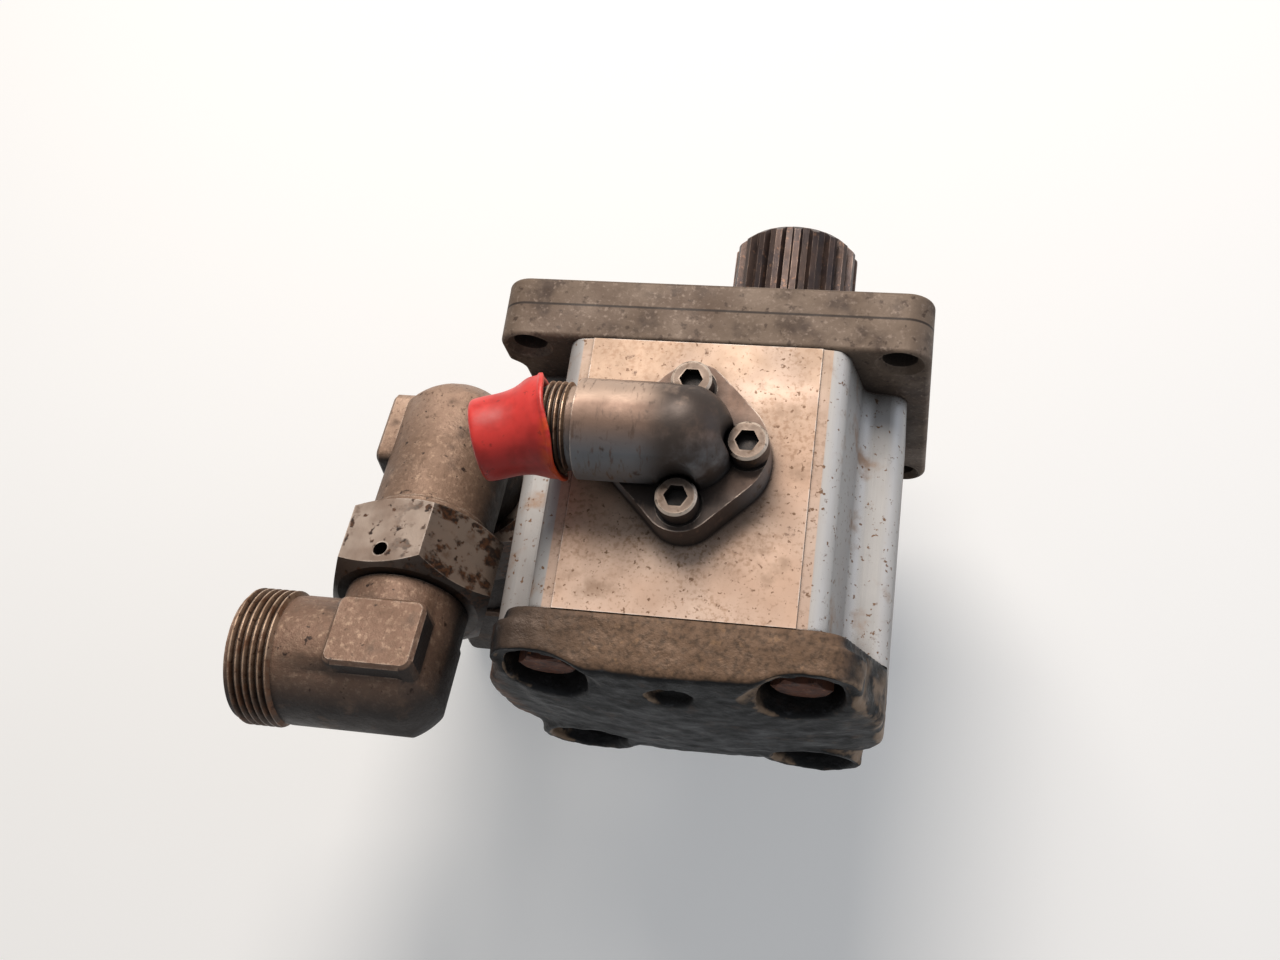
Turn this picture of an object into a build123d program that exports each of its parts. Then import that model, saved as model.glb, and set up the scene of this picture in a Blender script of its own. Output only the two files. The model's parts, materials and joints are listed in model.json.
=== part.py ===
from build123d import *
import math
import os

# Hydraulic gear pump with a flanged pressure elbow and a suction line of three swivel elbows.
# Origin: the mounting flange's front face, on the drive shaft's axis.
# +Y runs out along the drive shaft, +Z out of the pressure port, X along the line of the two gears.

# ---- gears and shafts -------------------------------------------------------------------------
gear_module = 2.6
tooth_count = 12
gear_centres = gear_module * tooth_count
pressure_angle = 24.0
tip_height = 2.55
root_depth = 3.1
tooth_backlash = 0.16
gear_width = 31.9
side_clearance = 0.08
tip_clearance = 0.05
journal_diameter = 18.0
sleeve_wall = 1.25
journal_clearance = 0.03
journal_end_gap = 0.6
seal_seat_diameter = 17.0
taper_ratio = 8.0
taper_start = 6.0
taper_end = 22.0
shaft_thread_diameter = 12.0
shaft_thread_end = 33.0

# ---- gear housing -----------------------------------------------------------------------------
centre_x = -gear_centres / 2
flange_thickness = 17.4
housing_length = 72.4
housing_side_wall = 4.2
housing_half_height = 42.4
pad_half_width = 29.3
pad_step = 0.4
shoulder_half_width = 35.6
shoulder_drop = 1.2
shoulder_round = 5.0
tower_foot_half_width = 39.4
ledge_height = 18.6
ledge_fall = 1.2
ledge_fillet = 4.0
ledge_corner = 4.5
port_y = -50.0
block_clearance = 0.02
block_seal_width = 2.2
block_seal_depth = 1.4
block_seal_inset = 1.2
trap_relief_depth = 1.2
trap_relief_width = 5.2
trap_relief_height = 3.9
trap_relief_place = 5.7
housing_seal_width = 2.4
housing_seal_depth = 1.8
housing_seal_wall = 2.0

# ---- mounting flange --------------------------------------------------------------------------
flange_half_width = 56.0
flange_half_height = 42.0
flange_corner = 7.0
flange_edge_round = 1.4
mount_spacing_x = 96.2
mount_spacing_z = 71.5
mount_hole_diameter = 9.0
mount_hole_chamfer = 1.7
waist_depth = 3.5
waist_half_height = 27.0
waist_fillet = 6.0
pilot_diameter = 36.47
pilot_height = 5.0
pilot_chamfer = 0.8
shaft_bore_diameter = 19.0
seal_bore_diameter = 30.0
seal_width = 7.0
seal_inset = 2.8
seal_lip_clearance = 0.03
seal_wall = 1.6
seal_lip_setback = 3.2
seal_lip_height = 4.8
seal_groove_wall = 0.8
ring_thickness = 1.2
ring_width = 2.6
ring_groove_depth = 0.8
ring_opening = 8.0

# ---- rear cover -------------------------------------------------------------------------------
cover_thickness = 18.2
crown_radius = 290.0
cover_shoulder_half_width = 39.5
cover_flank_height = 14.0
cover_corner = 8.0
cover_edge_round = 2.6
cover_recess_diameter = 11.0
cover_recess_depth = 5.0
cover_recess_height = 30.0

# ---- body bolts and dowels --------------------------------------------------------------------
bolt_spacing_x = 62.0
bolt_spacing_z = 60.0
bolt_diameter = 8.0
bolt_hole_clearance = 0.25
bolt_head_flats = 13.0
bolt_head_height = 5.3
bolt_head_chamfer = 0.7
bolt_washer_diameter = 16.0
bolt_washer_thickness = 1.6
bolt_pocket_diameter = 21.0
bolt_pocket_floor = 4.6
bolt_thread_depth = 12.0
bolt_tip_gap = 1.0
dowel_diameter = 6.0
dowel_length = 12.0
dowel_wall = 1.8

# ---- pressure port elbow ----------------------------------------------------------------------
pressure_bore = 13.0
pressure_bolt_circle = 30.0
pressure_screw_diameter = 6.0
pressure_screw_head = 10.0
pressure_screw_socket = 5.0
pressure_screw_engagement = 12.0
pressure_plate_thickness = 10.0
pressure_plate_reach = 25.6
pressure_plate_corner = 9.0
pressure_plate_heel_corner = 14.0
pressure_axis_height = 16.4
pressure_pipe_diameter = 24.2
pressure_thread_diameter = 22.0
pressure_thread_length = 9.0
pressure_stub_reach = 33.4
pressure_groove_width = 1.6
pressure_mouth_flare = 2.0
screw_head_chamfer = 0.6

# ---- plastic cap on the pressure stub ---------------------------------------------------------
cap_mouth_diameter = 26.6
cap_middle_diameter = 23.1
cap_middle_depth = 8.0
cap_end_diameter = 20.0
cap_length = 19.6
cap_wall = 0.9
cap_rim_width = 1.2
cap_rim_height = 0.5
cap_edge_round = 1.2
cap_tilt = 17.0
cap_grip = 3.0

# ---- suction port elbow -----------------------------------------------------------------------
suction_bore = 20.0
suction_bolt_circle = 40.0
suction_screw_diameter = 8.0
suction_screw_head = 13.0
suction_screw_socket = 6.0
suction_screw_engagement = 13.0
suction_plate_thickness = 12.0
suction_plate_reach = 35.0
suction_plate_corner = 10.0
suction_plate_heel_corner = 15.0
suction_axis_height = 29.6
spot_face_clearance = 0.6
spot_face_depth = 0.3
port_ring_section = 2.6
port_ring_squeeze = 0.15
port_ring_gap = 1.6

# ---- swivel elbow family ----------------------------------------------------------------------
tube_thread_diameter = 36.0
tube_thread_length = 15.5
thread_chamfer = 1.2
male_leg_length = 44.5
outlet_leg_length = 38.0
outlet_thread_length = 13.2
male_neck_diameter = 34.0
swivel_neck_diameter = 33.0
swivel_spigot_diameter = 30.0
line_bore = 23.0
cone_half_angle = 12.0
nose_length = 7.5
nose_clearance = 0.1
nut_flats = 41.0
nut_length = 21.5
nut_wall = 7.5
nut_start = 19.0
nut_chamfer = 2.6
end_gap = 0.5
neck_gap = 0.3
fit_clearance = 0.05
wire_diameter = 2.0
wire_clearance = 0.1
wire_offset = 4.8
wire_hole_diameter = 4.0
cone_ring_section = 1.8
cone_ring_place = 3.5
pad_height = 19.0
pad_along_male = 24.0
pad_along_swivel = 20.0
pad_shift_male = -1.0
pad_shift_swivel = 0.4
pad_corner = 3.0
pad_edge = 1.0
elbow_heel_round = 12.0
elbow_heel_crown = 38.2

# ---- where the suction line runs --------------------------------------------------------------
line_to_housing = 26.8
line_lean = 14.0
lower_nut_turn = 0.0
middle_nut_turn = 12.0
outer_nut_turn = 50.0

# ---- splined coupling -------------------------------------------------------------------------
coupling_diameter = 34.9
coupling_root_diameter = 31.2
coupling_teeth = 21
coupling_start = 7.5
coupling_end = 34.0
coupling_chamfer = 1.8
coupling_recess_diameter = 26.0
coupling_seat = 0.6
coupling_crest_share = 0.16
coupling_foot_share = 0.32
key_width = 4.0
key_height = 4.0
key_length = 10.0
shaft_nut_flats = 19.0
shaft_nut_thickness = 7.6
shaft_nut_chamfer = 1.0
shaft_washer_diameter = 22.0
shaft_washer_thickness = 2.0

# ---- places worked out from the sizes above ---------------------------------------------------
housing_front = -flange_thickness
housing_rear = housing_front - housing_length
driven_x = -gear_centres
gear_front = port_y + gear_width / 2
gear_rear = port_y - gear_width / 2
gear_tip_radius = gear_centres / 2 + tip_height
gear_root_radius = gear_centres / 2 - root_depth
chamber_radius = gear_tip_radius + tip_clearance
block_radius = chamber_radius - block_clearance
sleeve_inner_radius = journal_diameter / 2 + journal_clearance
sleeve_outer_radius = sleeve_inner_radius + sleeve_wall
bolt_head_seat = housing_rear - bolt_pocket_floor - bolt_washer_thickness
bolt_half_x = bolt_spacing_x / 2
bolt_half_z = bolt_spacing_z / 2
corner_signs = [(-1, -1), (-1, 1), (1, -1), (1, 1)]
bolt_places = [(centre_x + side * bolt_half_x, level * bolt_half_z) for side, level in corner_signs]
mount_half_x = mount_spacing_x / 2
mount_half_z = mount_spacing_z / 2
mount_places = [(centre_x + side * mount_half_x, level * mount_half_z) for side, level in corner_signs]
joints_y = (housing_front, housing_rear)
seal_groove_outer_radius = chamber_radius + housing_seal_wall + housing_seal_width
dowel_offset = gear_centres / 2 + seal_groove_outer_radius + dowel_wall + dowel_diameter / 2
dowel_places = [(centre_x + side * dowel_offset, y) for side in (-1, 1) for y in joints_y]
housing_half_width = dowel_offset + dowel_diameter / 2 + housing_side_wall
lower_elbow_x = centre_x - housing_half_width - line_to_housing
nut_bore_end = nut_start + nut_wall
elbow_pitch = male_leg_length + nut_bore_end + end_gap
spigot_radius = swivel_spigot_diameter / 2
wire_track_radius = spigot_radius + fit_clearance / 2
cone_slope = math.tan(math.radians(cone_half_angle))
lean = math.radians(line_lean)
riser_axis = (0.0, math.sin(lean), math.cos(lean))
arm_axis = (0.0, -math.cos(lean), math.sin(lean))


# ---- drawing and placing helpers --------------------------------------------------------------
def rounded_outline(corners):
    """A closed flat face from corners (x, y, radius), each corner rounded to its own radius."""
    edges = []
    starts = []
    ends = []
    for index, (x, y, radius) in enumerate(corners):
        corner = Vector(x, y)
        to_last = (Vector(*corners[index - 1][:2]) - corner).normalized()
        to_next = (Vector(*corners[(index + 1) % len(corners)][:2]) - corner).normalized()
        half_angle = math.radians(to_last.get_angle(to_next)) / 2
        reach = radius / math.tan(half_angle)
        start = corner + to_last * reach
        end = corner + to_next * reach
        starts.append(start)
        ends.append(end)
        if radius > 0:
            middle = corner + (to_last + to_next).normalized() * (radius / math.sin(half_angle) - radius)
            edges.append(ThreePointArc(start, middle, end))
    for index, end in enumerate(ends):
        edges.append(Line(end, starts[(index + 1) % len(starts)]))
    return make_face(edges)


def four_quarters(quarter):
    """The corners of a whole outline from those of its upper right quarter, listed from the top down."""
    upper_left = [(-x, y, radius) for x, y, radius in quarter]
    lower_left = [(-x, -y, radius) for x, y, radius in reversed(quarter)]
    lower_right = [(x, -y, radius) for x, y, radius in quarter]
    return list(reversed(upper_left)) + quarter + list(reversed(lower_right)) + list(reversed(lower_left))


def slab(outline, y_low, y_high):
    """A flat outline, drawn in X and Z, made solid between two stations along the shaft."""
    drawing_plane = Plane(origin=(0, y_high, 0), x_dir=(1, 0, 0), z_dir=(0, -1, 0))
    return extrude(drawing_plane * outline, amount=y_high - y_low)


def bar(start, direction, length, radius):
    """A round bar from a start point along a direction."""
    return extrude(Plane(origin=start, z_dir=direction) * Circle(radius), amount=length)


def shaft_bar(x, z, radius, y_low, y_high):
    """A round bar parallel to the drive shaft."""
    return bar((x, y_low, z), (0, 1, 0), y_high - y_low, radius)


def turned(half_section):
    """A turned piece about local Z, from its half section as (radius, height) corners."""
    return revolve(make_face(Plane.XZ * Polyline(*half_section, close=True)), axis=Axis.Z)


def round_ring(middle_radius, section_diameter):
    """A ring of eight-sided section about local Z: an O-ring, a wire, or the groove for one."""
    section = Pos(middle_radius, 0) * RegularPolygon(section_diameter / 2, 8)
    return revolve(Plane.XZ * section, axis=Axis.Z)


def placed(origin, x_dir, z_dir):
    """The place of a piece whose local X and Z follow the two given directions."""
    return Plane(origin=origin, x_dir=x_dir, z_dir=z_dir).location


def shaft_place(x, y):
    """The place of a turned piece whose local Z runs out along a gear's axis."""
    return placed((x, y, 0), (1, 0, 0), (0, 1, 0))


def figure_eight(radius):
    """Two equal circles on the gear axes, joined."""
    return Pos(0, 0) * Circle(radius) + Pos(driven_x, 0) * Circle(radius)


def racetrack(radius):
    """Half circles round the two gear axes, joined by straight sides."""
    return Pos(centre_x, 0) * SlotCenterToCenter(gear_centres, 2 * radius)


def hexagon_bar(flats, height, chamfer_height, both_ends):
    """A hexagonal bar with turned chamfers, standing on local z = 0."""
    corner_radius = flats / math.sqrt(3)
    face_radius = corner_radius - chamfer_height * math.sqrt(3)
    foot = [(face_radius, 0), (corner_radius, chamfer_height)] if both_ends else [(corner_radius, 0)]
    top = [(corner_radius, height - chamfer_height), (face_radius, height)]
    envelope = turned([(0, 0)] + foot + top + [(0, height)])
    return extrude(RegularPolygon(corner_radius, 6), amount=height) & envelope


# ---- gears ------------------------------------------------------------------------------------
def involute(angle):
    """The involute function of an angle in radians."""
    return math.tan(angle) - angle


def gear_outline(turn):
    """The gear's outline, with involute flanks that run straight in to the root below the base circle."""
    pitch_radius = gear_centres / 2
    base_radius = pitch_radius * math.cos(math.radians(pressure_angle))
    pitch_half_angle = math.pi / (2 * tooth_count) - tooth_backlash / (4 * pitch_radius)
    middle_radius = (base_radius + gear_tip_radius) / 2

    def flank_angle(radius):
        here = math.acos(min(1.0, base_radius / radius))
        return pitch_half_angle + involute(math.radians(pressure_angle)) - involute(here)

    def at(radius, angle):
        return (radius * math.cos(angle), radius * math.sin(angle))

    step = 2 * math.pi / tooth_count
    edges = []
    for tooth in range(tooth_count):
        middle = math.radians(turn) + tooth * step
        for side in (-1, 1):
            foot = at(gear_root_radius, middle + side * flank_angle(base_radius))
            base = at(base_radius, middle + side * flank_angle(base_radius))
            half_way = at(middle_radius, middle + side * flank_angle(middle_radius))
            tip = at(gear_tip_radius, middle + side * flank_angle(gear_tip_radius))
            edges.append(Line(foot, base))
            edges.append(ThreePointArc(base, half_way, tip))
        left_tip = at(gear_tip_radius, middle - flank_angle(gear_tip_radius))
        right_tip = at(gear_tip_radius, middle + flank_angle(gear_tip_radius))
        edges.append(ThreePointArc(left_tip, at(gear_tip_radius, middle), right_tip))
        root_start = at(gear_root_radius, middle + flank_angle(base_radius))
        root_end = at(gear_root_radius, middle + step - flank_angle(base_radius))
        edges.append(ThreePointArc(root_start, at(gear_root_radius, middle + step / 2), root_end))
    return make_face(edges)


def gear_with_journals(x, turn, front_end):
    """A gear cut from its shaft, with a journal each side."""
    gear = slab(Pos(x, 0) * gear_outline(turn), gear_rear, gear_front)
    journals = shaft_bar(x, 0, journal_diameter / 2, housing_rear + journal_end_gap, front_end)
    return gear + journals


def keyway():
    """The slot shared by the shaft's taper and the coupling, and the shape of the key itself."""
    taper_middle = (taper_start + taper_end) / 2
    taper_radius = seal_seat_diameter / 2 - (taper_middle - taper_start) / taper_ratio / 2
    return Pos(0, taper_middle, taper_radius) * Box(key_width, key_length, key_height)


def taper_half_section():
    """The half section of the shaft's nose: seal seat, taper and thread, as (radius, height)."""
    seat_radius = seal_seat_diameter / 2
    small_radius = seat_radius - (taper_end - taper_start) / taper_ratio / 2
    thread_radius = shaft_thread_diameter / 2
    return [
        (0, housing_front),
        (seat_radius, housing_front),
        (seat_radius, taper_start),
        (small_radius, taper_end),
        (thread_radius, taper_end),
        (thread_radius, shaft_thread_end - thread_chamfer),
        (thread_radius - thread_chamfer, shaft_thread_end),
        (0, shaft_thread_end),
    ]


def drive_gear_shaft():
    """The driving gear with its long tapered and threaded nose."""
    nose = shaft_place(0, 0) * turned(taper_half_section())
    return gear_with_journals(0, 0, housing_front) + nose - keyway()


def driven_gear_shaft():
    """The second gear, half a tooth round so that it is in mesh at rest."""
    return gear_with_journals(driven_x, 180 / tooth_count, housing_front - journal_end_gap)


# ---- bushing blocks, sleeves and their seals --------------------------------------------------
def bushing_block(outer_face, gear_face):
    """A bearing block for both shafts between the given outer and gear-side faces."""
    y_low = min(outer_face, gear_face)
    y_high = max(outer_face, gear_face)
    inward = 1 if gear_face > outer_face else -1
    block = slab(figure_eight(block_radius), y_low, y_high)
    block -= block_seal(outer_face, inward)
    for x in (0, driven_x):
        block -= shaft_bar(x, 0, sleeve_outer_radius, y_low, y_high)
    for level in (-1, 1):
        relief = Box(trap_relief_width, 2 * trap_relief_depth, trap_relief_height)
        block -= Pos(centre_x, gear_face, level * trap_relief_place) * relief
    return block


def block_seal(outer_face, inward):
    """The eight-shaped balance seal set into a block's outer face."""
    inner_end = outer_face + inward * block_seal_depth
    outer_radius = block_radius - block_seal_inset
    outline = figure_eight(outer_radius) - figure_eight(outer_radius - block_seal_width)
    return slab(outline, min(outer_face, inner_end), max(outer_face, inner_end))


def journal_sleeves(y_low, y_high):
    """The two thin bearing sleeves pressed into one block."""
    sleeves = []
    for x in (0, driven_x):
        sleeve = shaft_bar(x, 0, sleeve_outer_radius, y_low, y_high)
        sleeves.append(sleeve - shaft_bar(x, 0, sleeve_inner_radius, y_low, y_high))
    return sleeves


def housing_seal(joint_y, inward):
    """The racetrack seal in a groove round the chamber at one end of the housing."""
    inner_end = joint_y + inward * housing_seal_depth
    inner_radius = chamber_radius + housing_seal_wall
    outline = racetrack(inner_radius + housing_seal_width) - racetrack(inner_radius)
    return slab(outline, min(joint_y, inner_end), max(joint_y, inner_end))


# ---- housing, flange and cover ----------------------------------------------------------------
def port_cut(level, bore, bolt_circle, screw_diameter, engagement):
    """A port bore into the chamber with its four tapped holes, on the top (1) or bottom (-1) pad."""
    face_z = level * housing_half_height
    inward = (0, 0, -level)
    reach = bolt_circle / 2
    hole_depth = engagement + spot_face_depth + bolt_tip_gap
    cut = bar((centre_x, port_y, face_z), inward, housing_half_height, bore / 2)
    for x, y in [(reach, 0), (-reach, 0), (0, reach), (0, -reach)]:
        cut += bar((centre_x + x, port_y + y, face_z), inward, hole_depth, screw_diameter / 2)
    return cut


def housing_outline():
    """The extruded section: a tall middle with flat pads, sloping shoulders and a wide low waist."""
    shoulder_height = housing_half_height - shoulder_drop
    quarter = [
        (pad_half_width, housing_half_height, 0),
        (pad_half_width, housing_half_height - pad_step, 0),
        (shoulder_half_width, shoulder_height, shoulder_round),
        (tower_foot_half_width, ledge_height, ledge_fillet),
        (housing_half_width, ledge_height - ledge_fall, ledge_corner),
    ]
    return Pos(centre_x, 0) * rounded_outline(four_quarters(quarter))


def gear_housing():
    """The extruded housing with its gear chamber, ports, seal grooves and bolt holes."""
    housing = slab(housing_outline(), housing_rear, housing_front)
    housing -= slab(figure_eight(chamber_radius), housing_rear, housing_front)
    housing -= port_cut(1, pressure_bore, pressure_bolt_circle, pressure_screw_diameter,
                        pressure_screw_engagement)
    housing -= port_cut(-1, suction_bore, suction_bolt_circle, suction_screw_diameter,
                        suction_screw_engagement)
    housing -= housing_seal(housing_front, -1)
    housing -= housing_seal(housing_rear, 1)
    for x, z in bolt_places:
        housing -= shaft_bar(x, z, bolt_diameter / 2 + bolt_hole_clearance, housing_rear, housing_front)
    for dowel in locating_dowels():
        housing -= dowel
    return housing


def flange_outline():
    """A rounded rectangle, waisted between its two left ears."""
    left = -flange_half_width
    corners = [
        (left, -flange_half_height, flange_corner),
        (flange_half_width, -flange_half_height, flange_corner),
        (flange_half_width, flange_half_height, flange_corner),
        (left, flange_half_height, flange_corner),
        (left, waist_half_height, waist_depth / 2),
        (left + waist_depth, waist_half_height - waist_depth, waist_fillet),
        (left + waist_depth, waist_depth - waist_half_height, waist_fillet),
        (left, -waist_half_height, waist_depth / 2),
    ]
    return Pos(centre_x, 0) * rounded_outline(corners)


def mounting_flange():
    """The front cover: ears with four mounting holes, a pilot and the shaft seal's seat."""
    flange = slab(flange_outline(), housing_front, 0)
    layers = flange.edges().group_by(Axis.Y)
    flange = fillet(layers[0] + layers[-1], flange_edge_round)
    pilot = shaft_bar(0, 0, pilot_diameter / 2, 0, pilot_height)
    flange += chamfer(pilot.edges().group_by(Axis.Y)[-1], pilot_chamfer)
    flange -= shaft_bar(0, 0, shaft_bore_diameter / 2, housing_front, pilot_height)
    flange -= shaft_bar(0, 0, seal_bore_diameter / 2, pilot_height - seal_inset - seal_width, pilot_height)
    groove_start = pilot_height - seal_inset
    groove_radius = seal_bore_diameter / 2 + ring_groove_depth
    flange -= shaft_bar(0, 0, groove_radius, groove_start, groove_start + ring_thickness)
    for x, z in mount_places:
        flange -= shaft_place(x, 0) * Pos(0, -z, 0) * mount_hole()
    for x, z in bolt_places:
        flange -= shaft_bar(x, z, bolt_diameter / 2, housing_front, housing_front + bolt_thread_depth)
    for dowel in locating_dowels():
        flange -= dowel
    return flange


def mount_hole():
    """The cutting shape of one mounting hole, chamfered on the housing side."""
    radius = mount_hole_diameter / 2
    return turned([
        (0, housing_front),
        (radius + mount_hole_chamfer, housing_front),
        (radius, housing_front + mount_hole_chamfer),
        (radius, 0),
        (0, 0),
    ])


def cover_outline():
    """The cover's outline, which slopes straight from its bolt shoulders to its flanks."""
    quarter = [
        (cover_shoulder_half_width, housing_half_height, cover_corner),
        (housing_half_width, cover_flank_height, cover_corner),
    ]
    return Pos(centre_x, 0) * rounded_outline(four_quarters(quarter))


def rear_cover():
    """The crowned rear cover with a pocket round each bolt head and a blind centre recess."""
    cover_rear = housing_rear - cover_thickness
    cover = slab(cover_outline(), cover_rear, housing_rear)
    cover &= Pos(centre_x, cover_rear + crown_radius, 0) * Sphere(crown_radius)
    cover = fillet(cover.edges().group_by(Axis.Y)[0], cover_edge_round)
    pocket_floor = housing_rear - bolt_pocket_floor
    for x, z in bolt_places:
        cover -= shaft_bar(x, z, bolt_diameter / 2 + bolt_hole_clearance, cover_rear, housing_rear)
        cover -= shaft_bar(x, z, bolt_pocket_diameter / 2, cover_rear, pocket_floor)
    recess_floor = cover_rear + cover_recess_depth
    cover -= shaft_bar(centre_x, cover_recess_height, cover_recess_diameter / 2, cover_rear, recess_floor)
    for dowel in locating_dowels():
        cover -= dowel
    return cover


def locating_dowels():
    """Two dowels at each joint of the housing, half in each side."""
    half = dowel_length / 2
    return [shaft_bar(x, 0, dowel_diameter / 2, y - half, y + half) for x, y in dowel_places]


def body_bolts():
    """The four long bolts that clamp cover, housing and flange."""
    head = hexagon_bar(bolt_head_flats, bolt_head_height, bolt_head_chamfer, False)
    shank_length = housing_front + bolt_thread_depth - bolt_tip_gap - bolt_head_seat
    shank = Pos(0, 0, -shank_length) * extrude(Circle(bolt_diameter / 2), amount=shank_length)
    bolt = head + shank
    return [placed((x, bolt_head_seat, z), (1, 0, 0), (0, -1, 0)) * bolt for x, z in bolt_places]


def body_bolt_washers():
    """A plain washer under each body bolt's head."""
    washer = extrude(Circle(bolt_washer_diameter / 2), amount=bolt_washer_thickness)
    washer -= extrude(Circle(bolt_diameter / 2 + bolt_hole_clearance), amount=bolt_washer_thickness)
    return [placed((x, bolt_head_seat, z), (1, 0, 0), (0, 1, 0)) * washer for x, z in bolt_places]


# ---- shaft seal and retaining ring ------------------------------------------------------------
def shaft_seal():
    """The lip seal in the pilot, hollow on its rear side round a flexible lip."""
    outer = seal_bore_diameter / 2
    lip = seal_seat_diameter / 2 + seal_lip_clearance
    sleeve = lip + seal_wall
    front = pilot_height - seal_inset
    rear = front - seal_width
    return shaft_place(0, 0) * turned([
        (outer, rear),
        (outer, front),
        (sleeve, front),
        (sleeve, rear + seal_lip_height),
        (lip, rear + seal_lip_setback),
        (sleeve, rear),
        (sleeve + seal_groove_wall, rear),
        (sleeve + seal_groove_wall, front - seal_wall),
        (outer - seal_wall, front - seal_wall),
        (outer - seal_wall, rear),
    ])


def seal_retaining_ring():
    """The open spring ring that holds the seal in."""
    start = pilot_height - seal_inset
    outer = seal_bore_diameter / 2 + ring_groove_depth
    ring = shaft_bar(0, 0, outer, start, start + ring_thickness)
    ring -= shaft_bar(0, 0, outer - ring_width, start, start + ring_thickness)
    opening = Pos(0, start + ring_thickness / 2, -outer) * Box(ring_opening, ring_thickness, outer)
    return ring - opening


# ---- coupling and what holds it ---------------------------------------------------------------
def spline_outline():
    """The coupling's toothed outline, with straight-sided teeth."""
    crest = coupling_diameter / 2
    root = coupling_root_diameter / 2
    step = 2 * math.pi / coupling_teeth
    tooth_corners = [(-coupling_foot_share, root), (-coupling_crest_share, crest),
                     (coupling_crest_share, crest), (coupling_foot_share, root)]
    points = []
    for tooth in range(coupling_teeth):
        for share, radius in tooth_corners:
            angle = (tooth + share) * step
            points.append((radius * math.cos(angle), radius * math.sin(angle)))
    return make_face(Polyline(*points, close=True))


def drive_coupling():
    """The splined coupling on the shaft's taper, recessed for the shaft nut."""
    outer = coupling_diameter / 2
    envelope = shaft_place(0, 0) * turned([
        (0, coupling_start),
        (outer - coupling_chamfer / 2, coupling_start),
        (outer, coupling_start + coupling_chamfer / 2),
        (outer, coupling_end - coupling_chamfer),
        (outer - coupling_chamfer, coupling_end),
        (0, coupling_end),
    ])
    coupling = slab(spline_outline(), coupling_start, coupling_end) & envelope
    small_radius = seal_seat_diameter / 2 - (taper_end - taper_start) / taper_ratio / 2
    coupling -= shaft_place(0, 0) * turned(taper_half_section())
    coupling -= shaft_bar(0, 0, small_radius, taper_end, coupling_end)
    coupling -= shaft_bar(0, 0, coupling_recess_diameter / 2, taper_end + coupling_seat, coupling_end)
    return coupling - keyway()


def coupling_washer():
    """The washer between the coupling and its nut."""
    start = taper_end + coupling_seat
    washer = shaft_bar(0, 0, shaft_washer_diameter / 2, start, start + shaft_washer_thickness)
    return washer - shaft_bar(0, 0, shaft_thread_diameter / 2, start, start + shaft_washer_thickness)


def coupling_nut():
    """The nut that pulls the coupling up its taper."""
    start = taper_end + coupling_seat + shaft_washer_thickness
    nut = shaft_place(0, start) * hexagon_bar(shaft_nut_flats, shaft_nut_thickness, shaft_nut_chamfer, True)
    return nut - shaft_bar(0, 0, shaft_thread_diameter / 2, start, start + shaft_nut_thickness)


# ---- port elbows ------------------------------------------------------------------------------
def socket_screws(places, seat, diameter, head_diameter, socket_flats, engagement):
    """Socket head cap screws with their heads on the seat height and their shanks below."""
    shank_length = seat + engagement
    screws = []
    for x, y in places:
        head = extrude(Circle(head_diameter / 2), amount=diameter)
        head = chamfer(head.edges().group_by(Axis.Z)[-1], screw_head_chamfer)
        socket = RegularPolygon(socket_flats / 2, 6, major_radius=False)
        head -= Pos(0, 0, diameter / 2) * extrude(socket, amount=diameter)
        shank = Pos(0, 0, -shank_length) * extrude(Circle(diameter / 2), amount=shank_length)
        screws.append(Pos(x, y, seat) * (head + shank))
    return screws


def port_ring_radius(bore):
    """The middle radius of the O-ring round a port."""
    return bore / 2 + port_ring_gap + port_ring_section / 2


def port_elbow(bore, circle, head, shank, plate_thickness, plate_corners, axis_height, pipe, mouth):
    """A flanged elbow: plate on z = 0, riser, round heel and a pipe along +X, scalloped for its screws."""
    body_radius = max(radius for radius, height in pipe[:2])
    pipe_place = placed((0, 0, axis_height), (0, 0, 1), (1, 0, 0))
    elbow = extrude(rounded_outline(plate_corners), amount=plate_thickness)
    elbow += extrude(Circle(body_radius), amount=axis_height)
    elbow += Pos(0, 0, axis_height) * Sphere(body_radius)
    elbow += pipe_place * turned(pipe)
    seat = plate_thickness - spot_face_depth
    for x, y in port_side_places(circle):
        elbow -= bar((x, y, seat), (0, 0, 1), axis_height + body_radius, head / 2 + spot_face_clearance)
        elbow -= bar((x, y, 0), (0, 0, 1), plate_thickness, shank / 2 + spot_face_clearance / 2)
    elbow -= ring_groove(port_ring_radius(bore), port_ring_section, port_ring_squeeze)
    elbow -= bar((0, 0, 0), (0, 0, 1), axis_height, bore / 2)
    elbow -= Pos(0, 0, axis_height) * Sphere(bore / 2)
    return elbow - pipe_place * turned(mouth)


def diamond(reach, corner, heel_corner):
    """The corners of a port plate: a square on its point, rounder under the elbow's heel."""
    return [(reach, 0, corner), (0, reach, corner), (-reach, 0, heel_corner), (0, -reach, corner)]


def port_side_places(circle):
    """The three screw places in an elbow's own frame, where the pipe leaves along +X."""
    radius = circle / 2
    return [(-radius, 0), (0, radius), (0, -radius)]


def ring_groove(middle_radius, section, squeeze):
    """The cutting shape of a square groove for an O-ring, sunk into local z = 0."""
    half = section / 2 + squeeze
    return turned([
        (middle_radius - half, 0),
        (middle_radius + half, 0),
        (middle_radius + half, section),
        (middle_radius - half, section),
    ])


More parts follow.
